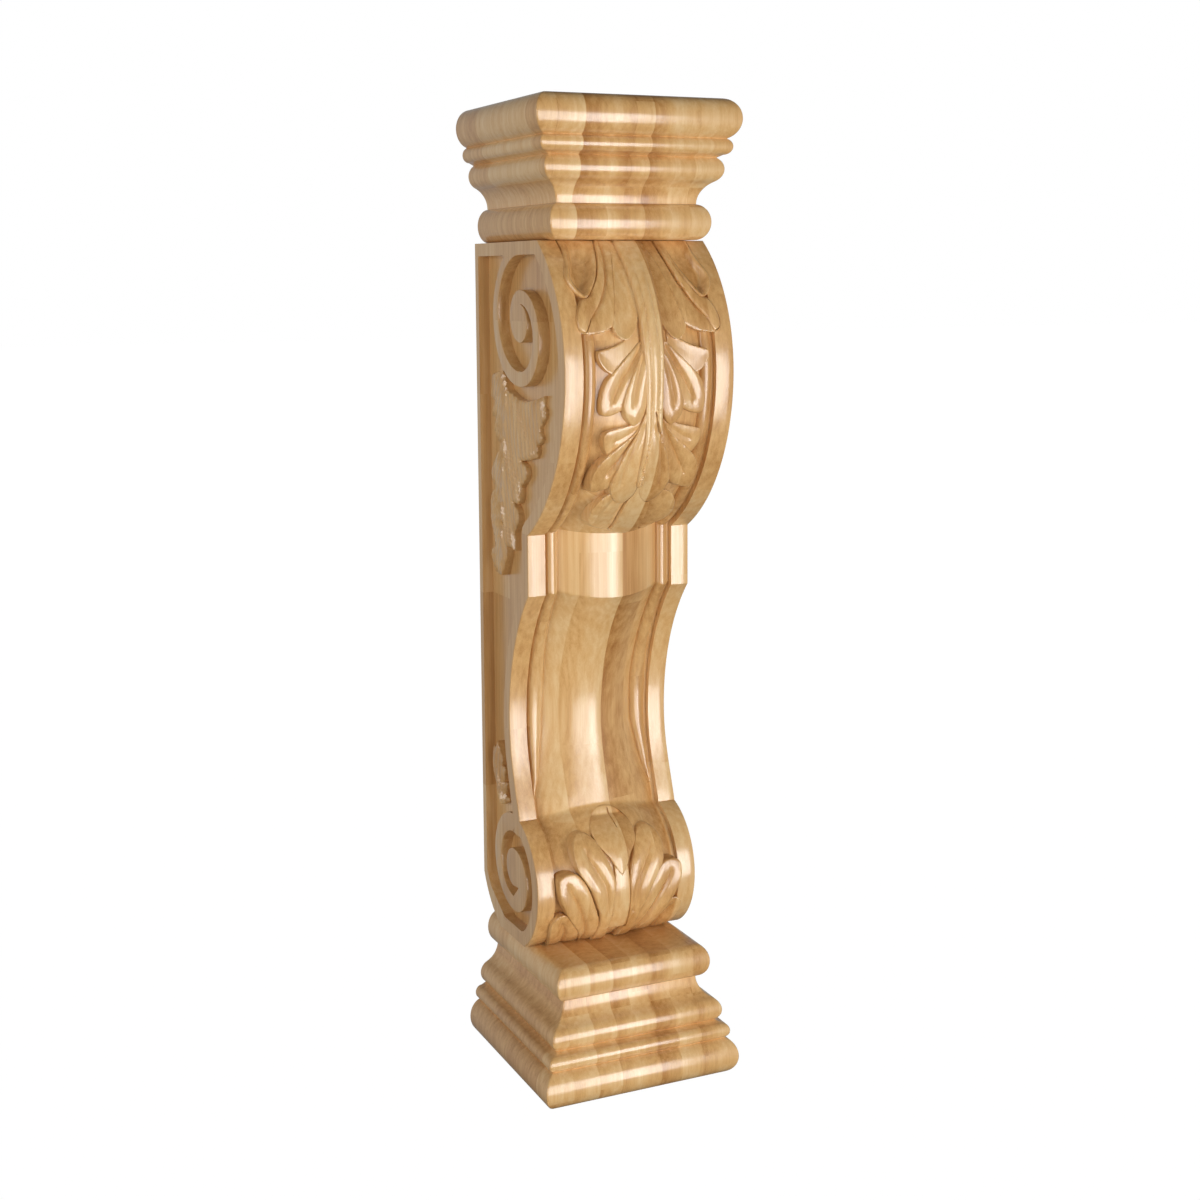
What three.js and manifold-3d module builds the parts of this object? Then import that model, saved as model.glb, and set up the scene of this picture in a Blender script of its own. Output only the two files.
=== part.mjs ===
// Carved fireplace corbel: a moulded capital, a scrolled body with acanthus leaves and side
// volutes, and a moulded base. Millimetres, +Z up, front towards -Y, origin at the centre of the
// underside of the bounding box.
import * as THREE from 'three';
import { mergeVertices } from 'three/addons/utils/BufferGeometryUtils.js';
import Module from 'manifold-3d';

const wasm = await Module();
wasm.setup();

// Overall sizes
const HEIGHT = 914.4; // whole corbel
const GAP = 0.3; // seam between the glued-up pieces
const BODY_W = 165.2; // width of the carved body
const BELLY_T = 211.8; // depth of the body's front border at the belly, from the back plane
const WAIST_T = 123.4; // depth at the plain band
const HOLLOW_T = 73.1; // least depth, in the long hollow
const CREST = 10.2; // how far the leaf's stem stands out in front of the border at the belly

// Moulding of the capital, and of the base turned over
const BLOCK_W = 177.6; // capital width between the flats the moulding grows from
const BLOCK_T = 185.2; // capital depth between the back and the same flat
const NOSE_H = 36; // large rounded nose
const NOSE_OUT = 11.2;
const NOSE_BACK = 3.3; // how far the top face stops short of the flat
const BEAD_H = 14.4; // small bead under the nose
const BEAD_OUT = 5;
const OGEE_H = 42.4; // cyma between bead and torus
const OGEE_R = 12.3; // its convex part
const OGEE_OUT = -0.7;
const TORUS_H = 32;
const TORUS_OUT = -9.3;
const NECK = -20.6; // offset of the neck next to the body
const MOULD_H = NOSE_H + BEAD_H + OGEE_H + TORUS_H;

// Side profile of the body, levels as shares of the body height
const BODY_BOTTOM = MOULD_H + GAP;
const BODY_TOP = HEIGHT - MOULD_H - GAP;
const BODY_H = BODY_TOP - BODY_BOTTOM;
const BELLY_Z = BODY_BOTTOM + 0.8236 * BODY_H;
const BELLY_R_UP = 146;
const BELLY_R_DOWN = 170;
const HOLLOW_Z = BODY_BOTTOM + 0.3195 * BODY_H;
const HOLLOW_R_UP = 190.6;
const HOLLOW_R_DOWN = 150;
const RAMP = 0.3; // slope of the rim where the hollow runs out on the scroll
const SCROLL_R = 66; // round lower scroll
const SCROLL_T = 72.7;
const SCROLL_Z = BODY_BOTTOM + 58.3;
const HEEL_Z = BODY_BOTTOM + 43; // where the back leaves the wall plane
const HEEL_T = 44; // back end of the contact with the base
const RIM_STEP = 1.8; // small step where the rim ends on the scroll
const RIM_EDGE = 1.2; // height of that step

// Cross-section of the front, across X
const HALF = BODY_W / 2;
const BORDER_IN = HALF - 17.6; // inner edge of the flat border
const REED_IN = 51; // inner edge of the reed beside it
const SUNK = 6.5; // depth of the grooves below the border
const REED_UP = 4.6;
const COLUMN_UP = 12; // crown of the middle above the border, at the band and in the hollow
const BELLY_UP = 1; // the same on the belly, under the leaf
const BROW_UP = 7; // the same where the belly meets the band
const SCROLL_UP = 1.5; // the same on the lower scroll

// Side panels
const PANEL_DEPTH = 11;
const PANEL_RIM = 13; // width of the rim along the carved front
const PANEL_BACK = 8; // strip along the wall
const PANEL_TOP = 12; // strip under the capital
const VOLUTE_R = 52.5; // inner radius of the upper volute's outer turn

const DEPTH = BELLY_T + CREST;
const BACK_Y = DEPTH / 2;
const rad = THREE.MathUtils.degToRad;
const lerp = THREE.MathUtils.lerp;
const clamp = THREE.MathUtils.clamp;

// Points are written (x, t, z) with t measured forward from the back plane.
const place = ([x, t, z]) => [x, BACK_Y - t, z];

function solid(points, triangles) {
  const geometry = new THREE.BufferGeometry();
  geometry.setAttribute('position', new THREE.Float32BufferAttribute(points.flatMap(place), 3));
  geometry.setIndex(triangles.flat());
  const merged = mergeVertices(geometry, 1e-4);
  const pos = merged.attributes.position.array;
  const index = merged.index.array;
  const kept = [];
  for (let i = 0; i < index.length; i += 3) {
    const [a, b, c] = [index[i], index[i + 1], index[i + 2]];
    if (a !== b && b !== c && a !== c) kept.push(a, b, c);
  }
  let volume = 0;
  const at = (k) => new THREE.Vector3(pos[3 * k], pos[3 * k + 1], pos[3 * k + 2]);
  for (let i = 0; i < kept.length; i += 3) {
    volume += at(kept[i]).dot(at(kept[i + 1]).cross(at(kept[i + 2])));
  }
  if (volume < 0) {
    for (let i = 0; i < kept.length; i += 3) [kept[i + 1], kept[i + 2]] = [kept[i + 2], kept[i + 1]];
  }
  const triVerts = Uint32Array.from(kept);
  const mesh = new wasm.Mesh({ numProp: 3, vertProperties: Float32Array.from(pos), triVerts });
  return new wasm.Manifold(mesh);
}

// Triangles filling a flat loop, turning the same way as the loop.
function endFace(loop, plane) {
  const flat = loop.map((p) => new THREE.Vector2(p[plane[0]], p[plane[1]]));
  const faces = THREE.ShapeUtils.triangulateShape(flat, []);
  let sum = 0;
  for (const [a, b, c] of faces) sum += THREE.ShapeUtils.area([flat[a], flat[b], flat[c]]);
  return sum * THREE.ShapeUtils.area(flat) < 0 ? faces.map(([a, b, c]) => [a, c, b]) : faces;
}

// Skin over closed loops of equal length, with flat ends; plane names the two axes of the ends.
function loft(loops, plane) {
  const n = loops[0].length;
  const points = loops.flat();
  const triangles = [];
  for (let i = 0; i + 1 < loops.length; i++) {
    for (let j = 0; j < n; j++) {
      const k = (j + 1) % n;
      const here = i * n;
      const next = here + n;
      triangles.push([here + j, here + k, next + k], [here + j, next + k, next + j]);
    }
  }
  const last = (loops.length - 1) * n;
  for (const [a, b, c] of endFace(loops[0], plane)) triangles.push([c, b, a]);
  for (const face of endFace(loops[loops.length - 1], plane)) triangles.push(face.map((a) => last + a));
  return solid(points, triangles);
}

// Arc in a plane as a list of pairs, angles in degrees, first point left out on request.
function arc(cx, cy, rx, ry, from, to, steps, skipFirst = false) {
  const out = [];
  for (let i = skipFirst ? 1 : 0; i <= steps; i++) {
    const a = rad(lerp(from, to, i / steps));
    out.push([cx + rx * Math.cos(a), cy + ry * Math.sin(a)]);
  }
  return out;
}

// Capital and base
// Pairs (offset outward from the flat, distance from the outer face).
function mouldingProfile() {
  const noseMid = NOSE_H / 2;
  const beadMid = NOSE_H + BEAD_H / 2 - 0.9;
  const beadBack = -1.5;
  const ogeeTop = NOSE_H + BEAD_H;
  const ogeeEnd = ogeeTop + OGEE_H;
  const convex = [OGEE_OUT - OGEE_R, ogeeTop + OGEE_R * 0.95];
  const neck = NECK + 1;
  const dz = ogeeEnd - convex[1];
  // the hollow part leaves the neck upright and touches the convex part
  const reach = neck - convex[0];
  const hollowR = (reach * reach + dz * dz - OGEE_R * OGEE_R) / (2 * (OGEE_R - reach));
  const hollow = [neck + hollowR, ogeeEnd];
  const lean = THREE.MathUtils.radToDeg(Math.atan2(hollow[1] - convex[1], hollow[0] - convex[0]));
  return [
    ...arc(-NOSE_BACK, noseMid, NOSE_OUT + NOSE_BACK, noseMid, -90, 73, 9),
    ...arc(beadBack, beadMid, BEAD_OUT - beadBack, BEAD_H / 2, -64, 90, 6),
    ...arc(convex[0], convex[1], OGEE_R, OGEE_R, -56, lean, 6),
    ...arc(hollow[0], hollow[1], hollowR, hollowR, lean + 180, 180, 4, true),
    ...arc(NECK, ogeeEnd + TORUS_H / 2, TORUS_OUT - NECK, TORUS_H / 2, -86, 90, 8),
  ];
}

function mouldedBlock(up) {
  const loops = mouldingProfile().map(([out, down]) => {
    const half = BLOCK_W / 2 + out;
    const front = BLOCK_T + out;
    const z = up ? HEIGHT - down : down;
    return [[-half, 0, z], [half, 0, z], [half, front, z], [-half, front, z]];
  });
  return loft(loops, [0, 1]);
}

// Front surface of the body
const smooth = (v) => {
  const u = clamp(v, 0, 1);
  return u * u * (3 - 2 * u);
};

const bellyUp = BELLY_T - BELLY_R_UP;
const bellyDown = BELLY_T - BELLY_R_DOWN;
const hollowTop = HOLLOW_T + HOLLOW_R_UP;
const hollowLow = HOLLOW_T + HOLLOW_R_DOWN;
const rampTurn = Math.atan(RAMP);
const UPPER_STEPS = 9;
const BROW_STEPS = 11;
const HOLLOW_STEPS = 9;
const RAMP_STEPS = 3;
const SCROLL_STEPS = 13;

// Front line of the body for a surface standing c in front of the border at the band and in the
// hollow, cBelly and cBrow above it, and cScroll on the scroll.
function frontLine(c, cBelly, cBrow, cScroll) {
  const line = [];
  const upper = BELLY_R_UP + cBelly;
  const first = Math.asin((BODY_TOP - BELLY_Z) / upper);
  for (let i = 0; i < UPPER_STEPS; i++) {
    const a = lerp(first, 0, i / UPPER_STEPS);
    line.push([bellyUp + upper * Math.cos(a), BELLY_Z + upper * Math.sin(a)]);
  }
  const waist = WAIST_T + c;
  const low = Math.acos((waist - bellyDown) / (BELLY_R_DOWN + cBrow));
  for (let i = 0; i <= BROW_STEPS; i++) {
    const a = lerp(0, low, i / BROW_STEPS);
    const r = BELLY_R_DOWN + lerp(cBelly, cBrow, smooth(i / BROW_STEPS));
    line.push([bellyDown + r * Math.cos(a), BELLY_Z - r * Math.sin(a)]);
  }
  const hollowR = HOLLOW_R_UP - c;
  const high = Math.acos((hollowTop - waist) / hollowR);
  for (let i = 0; i < HOLLOW_STEPS; i++) {
    const a = lerp(high, 0, i / HOLLOW_STEPS);
    line.push([hollowTop - hollowR * Math.cos(a), HOLLOW_Z + hollowR * Math.sin(a)]);
  }
  const rampR = HOLLOW_R_DOWN - c;
  for (let i = 0; i <= RAMP_STEPS; i++) {
    const a = lerp(0, rampTurn, i / RAMP_STEPS);
    line.push([hollowLow - rampR * Math.cos(a), HOLLOW_Z - rampR * Math.sin(a)]);
  }
  const [rampT, rampZ] = line[line.length - 1];
  const radius = SCROLL_R + cScroll;
  let lo = SCROLL_Z;
  let hi = Math.min(SCROLL_Z + radius, rampZ);
  for (let i = 0; i < 50; i++) {
    const mid = (lo + hi) / 2;
    const scroll = SCROLL_T + Math.sqrt(Math.max(radius * radius - (mid - SCROLL_Z) ** 2, 0));
    if (scroll > rampT + RAMP * (rampZ - mid)) lo = mid;
    else hi = mid;
  }
  const onBorder = c === 0;
  const joint = rampT + RAMP * (rampZ - lo - RIM_EDGE);
  line.push([joint + (onBorder ? RIM_STEP : 0), lo + RIM_EDGE]);
  const start = Math.asin((lo - SCROLL_Z) / radius);
  const end = -Math.asin((SCROLL_Z - BODY_BOTTOM) / radius);
  for (let i = 0; i <= SCROLL_STEPS; i++) {
    const a = lerp(start, end, i / SCROLL_STEPS);
    line.push([SCROLL_T + radius * Math.cos(a), SCROLL_Z + radius * Math.sin(a)]);
  }
  return line;
}

// Depth of the border at a level; the carving is measured from it.
const borderLine = frontLine(0, 0, 0, 0);
function borderDepth(z) {
  const level = clamp(z, BODY_BOTTOM, BODY_TOP);
  const waistZ = borderLine[UPPER_STEPS + BROW_STEPS][1];
  if (level >= BELLY_Z) return bellyUp + Math.sqrt(BELLY_R_UP ** 2 - (level - BELLY_Z) ** 2);
  if (level >= waistZ) return bellyDown + Math.sqrt(BELLY_R_DOWN ** 2 - (level - BELLY_Z) ** 2);
  for (let i = UPPER_STEPS + BROW_STEPS; i + 1 < borderLine.length; i++) {
    const [t0, z0] = borderLine[i];
    const [t1, z1] = borderLine[i + 1];
    if (level <= z0 && level >= z1) return lerp(t0, t1, (z0 - level) / Math.max(z0 - z1, 1e-6));
  }
  return borderLine[borderLine.length - 1][0];
}

// Height of the middle of the front over the border, for a place across the width.
function columnRise(x, crown) {
  const u = clamp(Math.abs(x) / REED_IN, 0, 1);
  return -SUNK + (crown + SUNK) * (1 - u * u);
}

function bodyBlock() {
  const reedMid = (REED_IN + BORDER_IN - 2) / 2;
  const reedHalf = 3.4;
  const reed = (share) => REED_UP * share - SUNK;
  const places = [
    [HALF, 0, 0],
    [BORDER_IN, 0, 0],
    [BORDER_IN - 0.8, -SUNK, -SUNK],
    [BORDER_IN - 2.2, -SUNK, -SUNK],
    [reedMid + reedHalf, reed(0.72), reed(0.3)],
    [reedMid, reed(1), reed(0.4)],
    [reedMid - reedHalf, reed(0.72), reed(0.3)],
    [REED_IN, -SUNK, -SUNK],
  ].map(([x, c, low]) => [x, c, c, c, low]);
  const crowns = [COLUMN_UP, BELLY_UP, BROW_UP, SCROLL_UP];
  for (const share of [0.82, 0.62, 0.41, 0.2]) {
    const x = REED_IN * share;
    places.push([x, ...crowns.map((crown) => columnRise(x, crown))]);
  }
  const across = [
    ...places.map(([x, ...heights]) => [-x, ...heights]),
    [0, ...crowns],
    ...places.toReversed(),
  ];
  const heelSag = 6;
  const loops = across.map(([x, ...heights]) => {
    const loop = frontLine(...heights).map(([t, z]) => [x, t, z]);
    for (let i = 0; i <= 4; i++) {
      const u = i / 4;
      const push = 4 * heelSag * u * (1 - u);
      loop.push([x, lerp(HEEL_T, 0, u) - push * 0.68, lerp(BODY_BOTTOM, HEEL_Z, u) - push * 0.73]);
    }
    loop.push([x, 0, BODY_TOP]);
    return loop;
  });
  return loft(loops, [1, 2]);
}

// Leaf lobes
// A lobe grows along a curved spine from root to tip over the border surface. Levels z are given
// as distances from a datum, heights are in front of the border.
function lobe(shape, datum, side) {
  const { spine, half, rise, crown = 2, crease = 1.6, broad = 0.55, neck = 0.5, blunt = 2 } = shape;
  const [root, bend, tip] = spine;
  const stations = [0, 0.3, 0.55, 0.76, 0.91, 1];
  const across = [-1, -0.5, 0, 0.5, 1];
  const sunk = 10; // the lobe's foot, behind the border
  const top = [];
  const foot = [];
  for (const a of stations) {
    const w0 = (1 - a) * (1 - a);
    const w1 = 2 * a * (1 - a);
    const w2 = a * a;
    const cx = w0 * root[0] + w1 * bend[0] + w2 * tip[0];
    const cz = w0 * root[1] + w1 * bend[1] + w2 * tip[1];
    const dx = 2 * (1 - a) * (bend[0] - root[0]) + 2 * a * (tip[0] - bend[0]);
    const dz = 2 * (1 - a) * (bend[1] - root[1]) + 2 * a * (tip[1] - bend[1]);
    const len = Math.hypot(dx, dz);
    const past = Math.max(a - broad, 0) / (1 - broad);
    const swelling = neck + (1 - neck) * Math.sin((Math.PI / 2) * Math.min(a / broad, 1));
    const rounding = Math.pow(Math.max(1 - Math.pow(past, blunt), 0), 1 / blunt);
    const open = Math.min(swelling, rounding);
    const width = half * Math.max(open, 0.02);
    const base = lerp(rise[0], rise[1], a);
    for (const s of across) {
      const x = side * (cx - (dz / len) * width * s);
      const z = datum + cz + (dx / len) * width * s;
      const fold = s === 0 ? crease * (1 - a * a) : 0;
      const swell = crown * (1 - s * s) * Math.min(1, open * 1.3) - fold;
      top.push([x, borderDepth(z) + base + swell, z]);
      foot.push([x, borderDepth(z) - sunk, z]);
    }
  }
  const m = across.length;
  const count = top.length;
  const triangles = [];
  const quad = (a, b, c, d) => triangles.push([a, b, c], [a, c, d]);
  for (let i = 0; i + 1 < stations.length; i++) {
    const here = i * m;
    const next = here + m;
    for (let j = 0; j + 1 < m; j++) {
      quad(here + j, here + j + 1, next + j + 1, next + j);
      quad(count + next + j, count + next + j + 1, count + here + j + 1, count + here + j);
    }
    quad(next, count + next, count + here, here);
    quad(here + m - 1, count + here + m - 1, count + next + m - 1, next + m - 1);
  }
  const end = (stations.length - 1) * m;
  for (let j = 0; j + 1 < m; j++) {
    quad(j, count + j, count + j + 1, j + 1);
    quad(end + j + 1, count + end + j + 1, count + end + j, end + j);
  }
  return solid([...top, ...foot], triangles);
}

// Upper leaf, hanging: places across, levels below the top of the body.
const UPPER = [
  {
    spine: [[46, 6], [50, -24], [57, -53]], half: 17, rise: [0, 3.5],
    crown: -3.5, crease: 0, neck: 0.75, broad: 0.5,
  },
  {
    spine: [[22, 6], [30, -45], [66, -83]], half: 16.5, rise: [1, 3.5],
    crown: 1, crease: 2.4, neck: 0.6, broad: 0.72,
  },
  { spine: [[11, 4], [15, -44], [25, -89]], half: 9.5, rise: [7, 5.5], crease: 0, neck: 0.7 },
  {
    spine: [[14, -76], [34, -90], [60, -106]], half: 12, rise: [1, 2],
    crease: 1, broad: 0.7, blunt: 2.6,
  },
  {
    spine: [[12, -92], [38, -106], [50, -152]], half: 12.5, rise: [2, 2.5],
    crown: 1.5, crease: 2.4, broad: 0.7, blunt: 2.4,
  },
  { spine: [[9, -86], [13, -120], [20, -162]], half: 9.5, rise: [5, 7.5], crown: 2.5, crease: 0 },
  {
    spine: [[12, -150], [30, -160], [54, -178]], half: 11, rise: [3, 5],
    crease: 1, broad: 0.7, blunt: 2.6,
  },
  {
    spine: [[9, -158], [36, -176], [54, -222]], half: 13.5, rise: [6, 8],
    crown: 1.5, crease: 2.4, broad: 0.7, blunt: 2.4,
  },
  { spine: [[7, -166], [15, -196], [16, -233]], half: 10.5, rise: [9, 16], crown: 2.5, crease: 1.2 },
  {
    spine: [[22, -206], [35, -222], [33, -259]], half: 14, rise: [6, 20],
    crown: 1.5, crease: 1, broad: 0.6, neck: 0.6,
  },
];
const UPPER_MIDDLE = {
  spine: [[0, -212], [0, -240], [0, -265]], half: 18, rise: [12, 24],
  crease: 0, broad: 0.55, neck: 0.7, blunt: 2.6,
};

// Lower leaf, standing: levels above the underside of the body.
const LOWER = [
  {
    spine: [[6, 22], [16, 66], [37, 113]], half: 13, rise: [6, 9],
    crease: 2, broad: 0.68, neck: 0.35, blunt: 2.3,
  },
  {
    spine: [[12, 0], [37, 33], [56, 81]], half: 15, rise: [4, 7],
    crease: 2, broad: 0.62, neck: 0.4, blunt: 2.5,
  },
  {
    spine: [[36, -8], [50, 10], [69, 37]], half: 13, rise: [3, 5],
    crown: 1.5, crease: 1.5, broad: 0.6, neck: 0.5, blunt: 2.3,
  },
];
const LOWER_MIDDLE = {
  spine: [[0, 62], [0, 95], [0, 129]], half: 22.5, rise: [9, 16],
  crown: 2.5, crease: 0, broad: 0.66, neck: 0.2, blunt: 2.1,
};

// Ribbed strip down the middle, from rows of level, half width and height over the border.
function stem(rows, datum) {
  const ribs = [-1, -0.55, -0.1, 0.1, 0.55, 1];
  const sunk = 8;
  const loops = rows.map(([level, half, rise]) => {
    const z = datum + level;
    const front = borderDepth(z);
    const loop = ribs.map((s, i) => [s * half, front + rise + (i === 1 || i === 4 ? 2 : 0), z]);
    return [...loop, [half, front - sunk, z], [-half, front - sunk, z]];
  });
  return loft(loops, [0, 1]);
}
const STEM_RISE = CREST - 2;
const UPPER_STEM = [
  [4, 10.5, STEM_RISE + 2.8],
  [-30, 10, STEM_RISE],
  [-60, 9.8, STEM_RISE],
  [-118, 8.5, STEM_RISE],
  [-150, 8.5, STEM_RISE + 0.8],
  [-178, 8, STEM_RISE + 3.8],
  [-205, 6.5, STEM_RISE + 7.8],
  [-232, 3.5, STEM_RISE + 12.8],
];
const LOWER_STEM = [
  [74, 5, 9],
  [58, 8, 9],
  [36, 9, 8],
  [16, 10, 7.5],
];

// Side panels
// Upright plate between two planes across X, from an outline of (t, z) pairs.
function plate(outline, x0, x1) {
  return loft([outline.map(([t, z]) => [x0, t, z]), outline.map(([t, z]) => [x1, t, z])], [1, 2]);
}

function panelOutline() {
  const front = [];
  const line = borderLine;
  for (let i = 0; i < line.length; i++) {
    const before = line[Math.max(i - 1, 0)];
    const after = line[Math.min(i + 1, line.length - 1)];
    const dt = after[0] - before[0];
    const dz = after[1] - before[1];
    const len = Math.hypot(dt, dz);
    front.push([line[i][0] + (dz / len) * PANEL_RIM, line[i][1] - (dt / len) * PANEL_RIM]);
  }
  const top = BODY_TOP - PANEL_TOP;
  const bottom = BODY_BOTTOM + PANEL_RIM;
  const kept = front.filter(([t, z]) => z < top && z > bottom + 2);
  const heel = [HEEL_T + 10, bottom];
  return [
    [PANEL_BACK, top],
    [kept[0][0] - 4, top],
    ...kept,
    [SCROLL_T + 24, bottom],
    heel,
    [PANEL_BACK + 10, HEEL_Z - 10],
    [PANEL_BACK, HEEL_Z + 4],
  ];
}

// Upper volute: band running down the back, round below, up the front and into the eye.
function upperVolute() {
  const z = BODY_TOP - PANEL_TOP - VOLUTE_R - 2.7;
  const t = 110;
  return [
    [t - 40, BODY_TOP],
    ...arc(t - 1, z, VOLUTE_R + 11.5, VOLUTE_R + 11.5, 125, 270, 12),
    ...arc(t + 1, z - 20, 44, 44, -90, 90, 12, true),
    ...arc(t + 1, z, 24, 24, 90, 262, 10, true),
    ...arc(t, z - 6.5, 17.5, 17.5, -90, 80, 7),
    ...arc(t, z - 19.5, 30.5, 30.5, 84, -90, 10),
    ...arc(t, z + 2.5, VOLUTE_R, VOLUTE_R, 270, 92, 12, true),
    [t, BODY_TOP],
  ];
}

// Lower volute: band leaving the front rim over the top, down the back and into the eye.
function lowerVolute() {
  const z = SCROLL_Z;
  const t = SCROLL_T + 6;
  return [
    [t + 14, z + 64],
    [t, z + 65.5],
    ...arc(t, z + 17.5, 48, 48, 98, 262, 12),
    ...arc(t + 2, z + 0.5, 31, 31, -94, 88, 12),
    ...arc(t + 1, z + 12.5, 19, 19, 92, 262, 8),
    [t + 11, z - 5],
    ...arc(t, z + 15.5, 32, 32, 268, 92, 10),
    [t + 14, z + 46],
  ];
}

// Leaf lying in the panel: a scalloped sheet, high along its midrib, low at the edges.
function sideLeaf(levels, scallops, x, side) {
  const [topLevel, bottomLevel] = levels;
  const steps = scallops * 4;
  const loops = [];
  for (let i = 0; i <= steps; i++) {
    const u = i / steps;
    const z = lerp(topLevel.z, bottomLevel.z, u);
    const tooth = 0.5 - 0.5 * Math.cos(2 * Math.PI * ((u * scallops) % 1));
    const notch = lerp(topLevel.notch, bottomLevel.notch, u) * (1 - Math.sqrt(tooth));
    const back = lerp(topLevel.back, bottomLevel.back, u) + notch * 0.5;
    const mid = lerp(topLevel.mid, bottomLevel.mid, u);
    const front = lerp(topLevel.front, bottomLevel.front, u) - notch;
    const low = x - 3.5 - 1.5 * (1 - tooth);
    loops.push([
      [side * (x - PANEL_DEPTH - 1), back, z],
      [side * low, back, z],
      [side * (x - 2.2), lerp(back, mid, 0.55), z],
      [side * (x - 0.4), mid, z],
      [side * (x - 2), lerp(mid, front, 0.5), z],
      [side * (low + 1), front, z],
      [side * (x - PANEL_DEPTH - 1), front, z],
    ]);
  }
  return loft(loops, [0, 1]);
}

function carvedBody() {
  let body = bodyBlock();
  const far = HALF + 5;
  const floor = HALF - PANEL_DEPTH;
  for (const side of [-1, 1]) {
    let recess = plate(panelOutline(), side * floor, side * far);
    recess = recess.subtract(plate(upperVolute(), side * (floor - 2), side * (far + 2)));
    recess = recess.subtract(plate(lowerVolute(), side * (floor - 2), side * (far + 2)));
    const hanging = [
      { z: BODY_TOP - 118, back: 28, mid: 92, front: 152, notch: 13 },
      { z: BODY_TOP - 312, back: 26, mid: 44, front: 66, notch: 10 },
    ];
    const springing = [
      { z: HOLLOW_Z - 30, back: 26, mid: 34, front: 44, notch: 5 },
      { z: HOLLOW_Z - 93, back: 30, mid: 46, front: 64, notch: 8 },
    ];
    recess = recess.subtract(sideLeaf(hanging, 7, HALF, side));
    recess = recess.subtract(sideLeaf(springing, 3, HALF, side));
    body = body.subtract(recess);
    for (const shape of UPPER) body = body.add(lobe(shape, BODY_TOP, side));
    for (const shape of LOWER) body = body.add(lobe(shape, BODY_BOTTOM, side));
  }
  body = body.add(lobe(UPPER_MIDDLE, BODY_TOP, 1));
  body = body.add(lobe(LOWER_MIDDLE, BODY_BOTTOM, 1));
  body = body.add(stem(UPPER_STEM, BODY_TOP));
  body = body.add(stem(LOWER_STEM, BODY_BOTTOM));
  const room = [[-HALF, BODY_BOTTOM], [HALF, BODY_BOTTOM], [HALF, BODY_TOP], [-HALF, BODY_TOP]];
  const frame = loft([0, DEPTH].map((t) => room.map(([x, z]) => [x, t, z])), [0, 2]);
  return body.intersect(frame);
}

// Assembly
function node(name, manifold, color) {
  const { vertProperties, triVerts } = manifold.getMesh();
  const geometry = new THREE.BufferGeometry();
  geometry.setAttribute('position', new THREE.Float32BufferAttribute(vertProperties, 3));
  geometry.setIndex(Array.from(triVerts));
  const faceted = geometry.toNonIndexed();
  faceted.computeVertexNormals();
  const wood = new THREE.MeshStandardMaterial({ color, roughness: 0.35, metalness: 0 });
  const mesh = new THREE.Mesh(faceted, wood);
  mesh.name = name;
  return mesh;
}

const group = new THREE.Group();
group.name = 'corbel';
group.add(node('base', mouldedBlock(false), 0xd8b07a));
group.add(node('body', carvedBody(), 0xdcb681));
group.add(node('capital', mouldedBlock(true), 0xd8b07a));

export default group;
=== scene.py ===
"""Carved fireplace corbel: carved pieces, lacquered laminated wood, soft light and camera."""
import math

import bpy
import bmesh
import numpy as np
from mathutils import Matrix, Vector
from mathutils.geometry import delaunay_2d_cdt


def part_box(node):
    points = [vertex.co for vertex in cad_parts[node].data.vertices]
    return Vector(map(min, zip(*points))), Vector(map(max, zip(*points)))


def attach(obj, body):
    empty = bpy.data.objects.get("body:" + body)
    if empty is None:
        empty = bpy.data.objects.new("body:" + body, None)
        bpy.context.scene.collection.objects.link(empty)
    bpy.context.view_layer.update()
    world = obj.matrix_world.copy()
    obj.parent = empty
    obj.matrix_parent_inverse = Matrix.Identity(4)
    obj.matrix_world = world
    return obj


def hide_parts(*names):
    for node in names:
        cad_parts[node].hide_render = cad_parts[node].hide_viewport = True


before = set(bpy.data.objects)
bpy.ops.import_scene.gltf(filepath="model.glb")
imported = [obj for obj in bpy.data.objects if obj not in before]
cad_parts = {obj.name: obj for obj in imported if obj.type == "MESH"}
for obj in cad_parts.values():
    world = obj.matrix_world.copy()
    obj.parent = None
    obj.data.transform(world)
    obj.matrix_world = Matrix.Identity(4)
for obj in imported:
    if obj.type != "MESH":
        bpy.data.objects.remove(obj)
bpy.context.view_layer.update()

# Sizes in millimetres. Places are written (x, t, z), with t measured forward from the back plane.
MM = 0.001
body_low, body_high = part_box("body")
capital_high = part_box("capital")[1]
HALF = body_high[0] / MM
BACK_Y = body_high[1] / MM
BODY_BOTTOM = body_low[2] / MM
BODY_TOP = body_high[2] / MM
BODY_H = BODY_TOP - BODY_BOTTOM
HEIGHT = capital_high[2] / MM

# Side profile of the body.
BELLY_T = 211.8
WAIST_T = 123.4
HOLLOW_T = 73.1
BELLY_Z = BODY_BOTTOM + 0.8236 * BODY_H
BELLY_R_UP = 146
BELLY_R_DOWN = 170
HOLLOW_Z = BODY_BOTTOM + 0.3195 * BODY_H
HOLLOW_R_UP = 190.6
HOLLOW_R_DOWN = 150
RAMP = 0.3
SCROLL_R = 66
SCROLL_T = 72.7
SCROLL_Z = BODY_BOTTOM + 58.3
HEEL_Z = BODY_BOTTOM + 43
HEEL_T = 44
HEEL_SAG = 6
RIM_STEP = 1.8
CROWN_BACK = 12

# Cross-section of the front.
BORDER_IN = HALF - 17.6
GROOVE_OUT = BORDER_IN - 2.6
REED_IN = 51
SUNK = 6.5
REED_UP = 4.6
COLUMN_UP = 12
BELLY_UP = 1
BROW_UP = 7
SCROLL_UP = 1.5
ARRIS = 0.9
BORDER_ARRIS = 0.6
FOOT_BLEND = 28
FOOT_SWELL = 26

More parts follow.
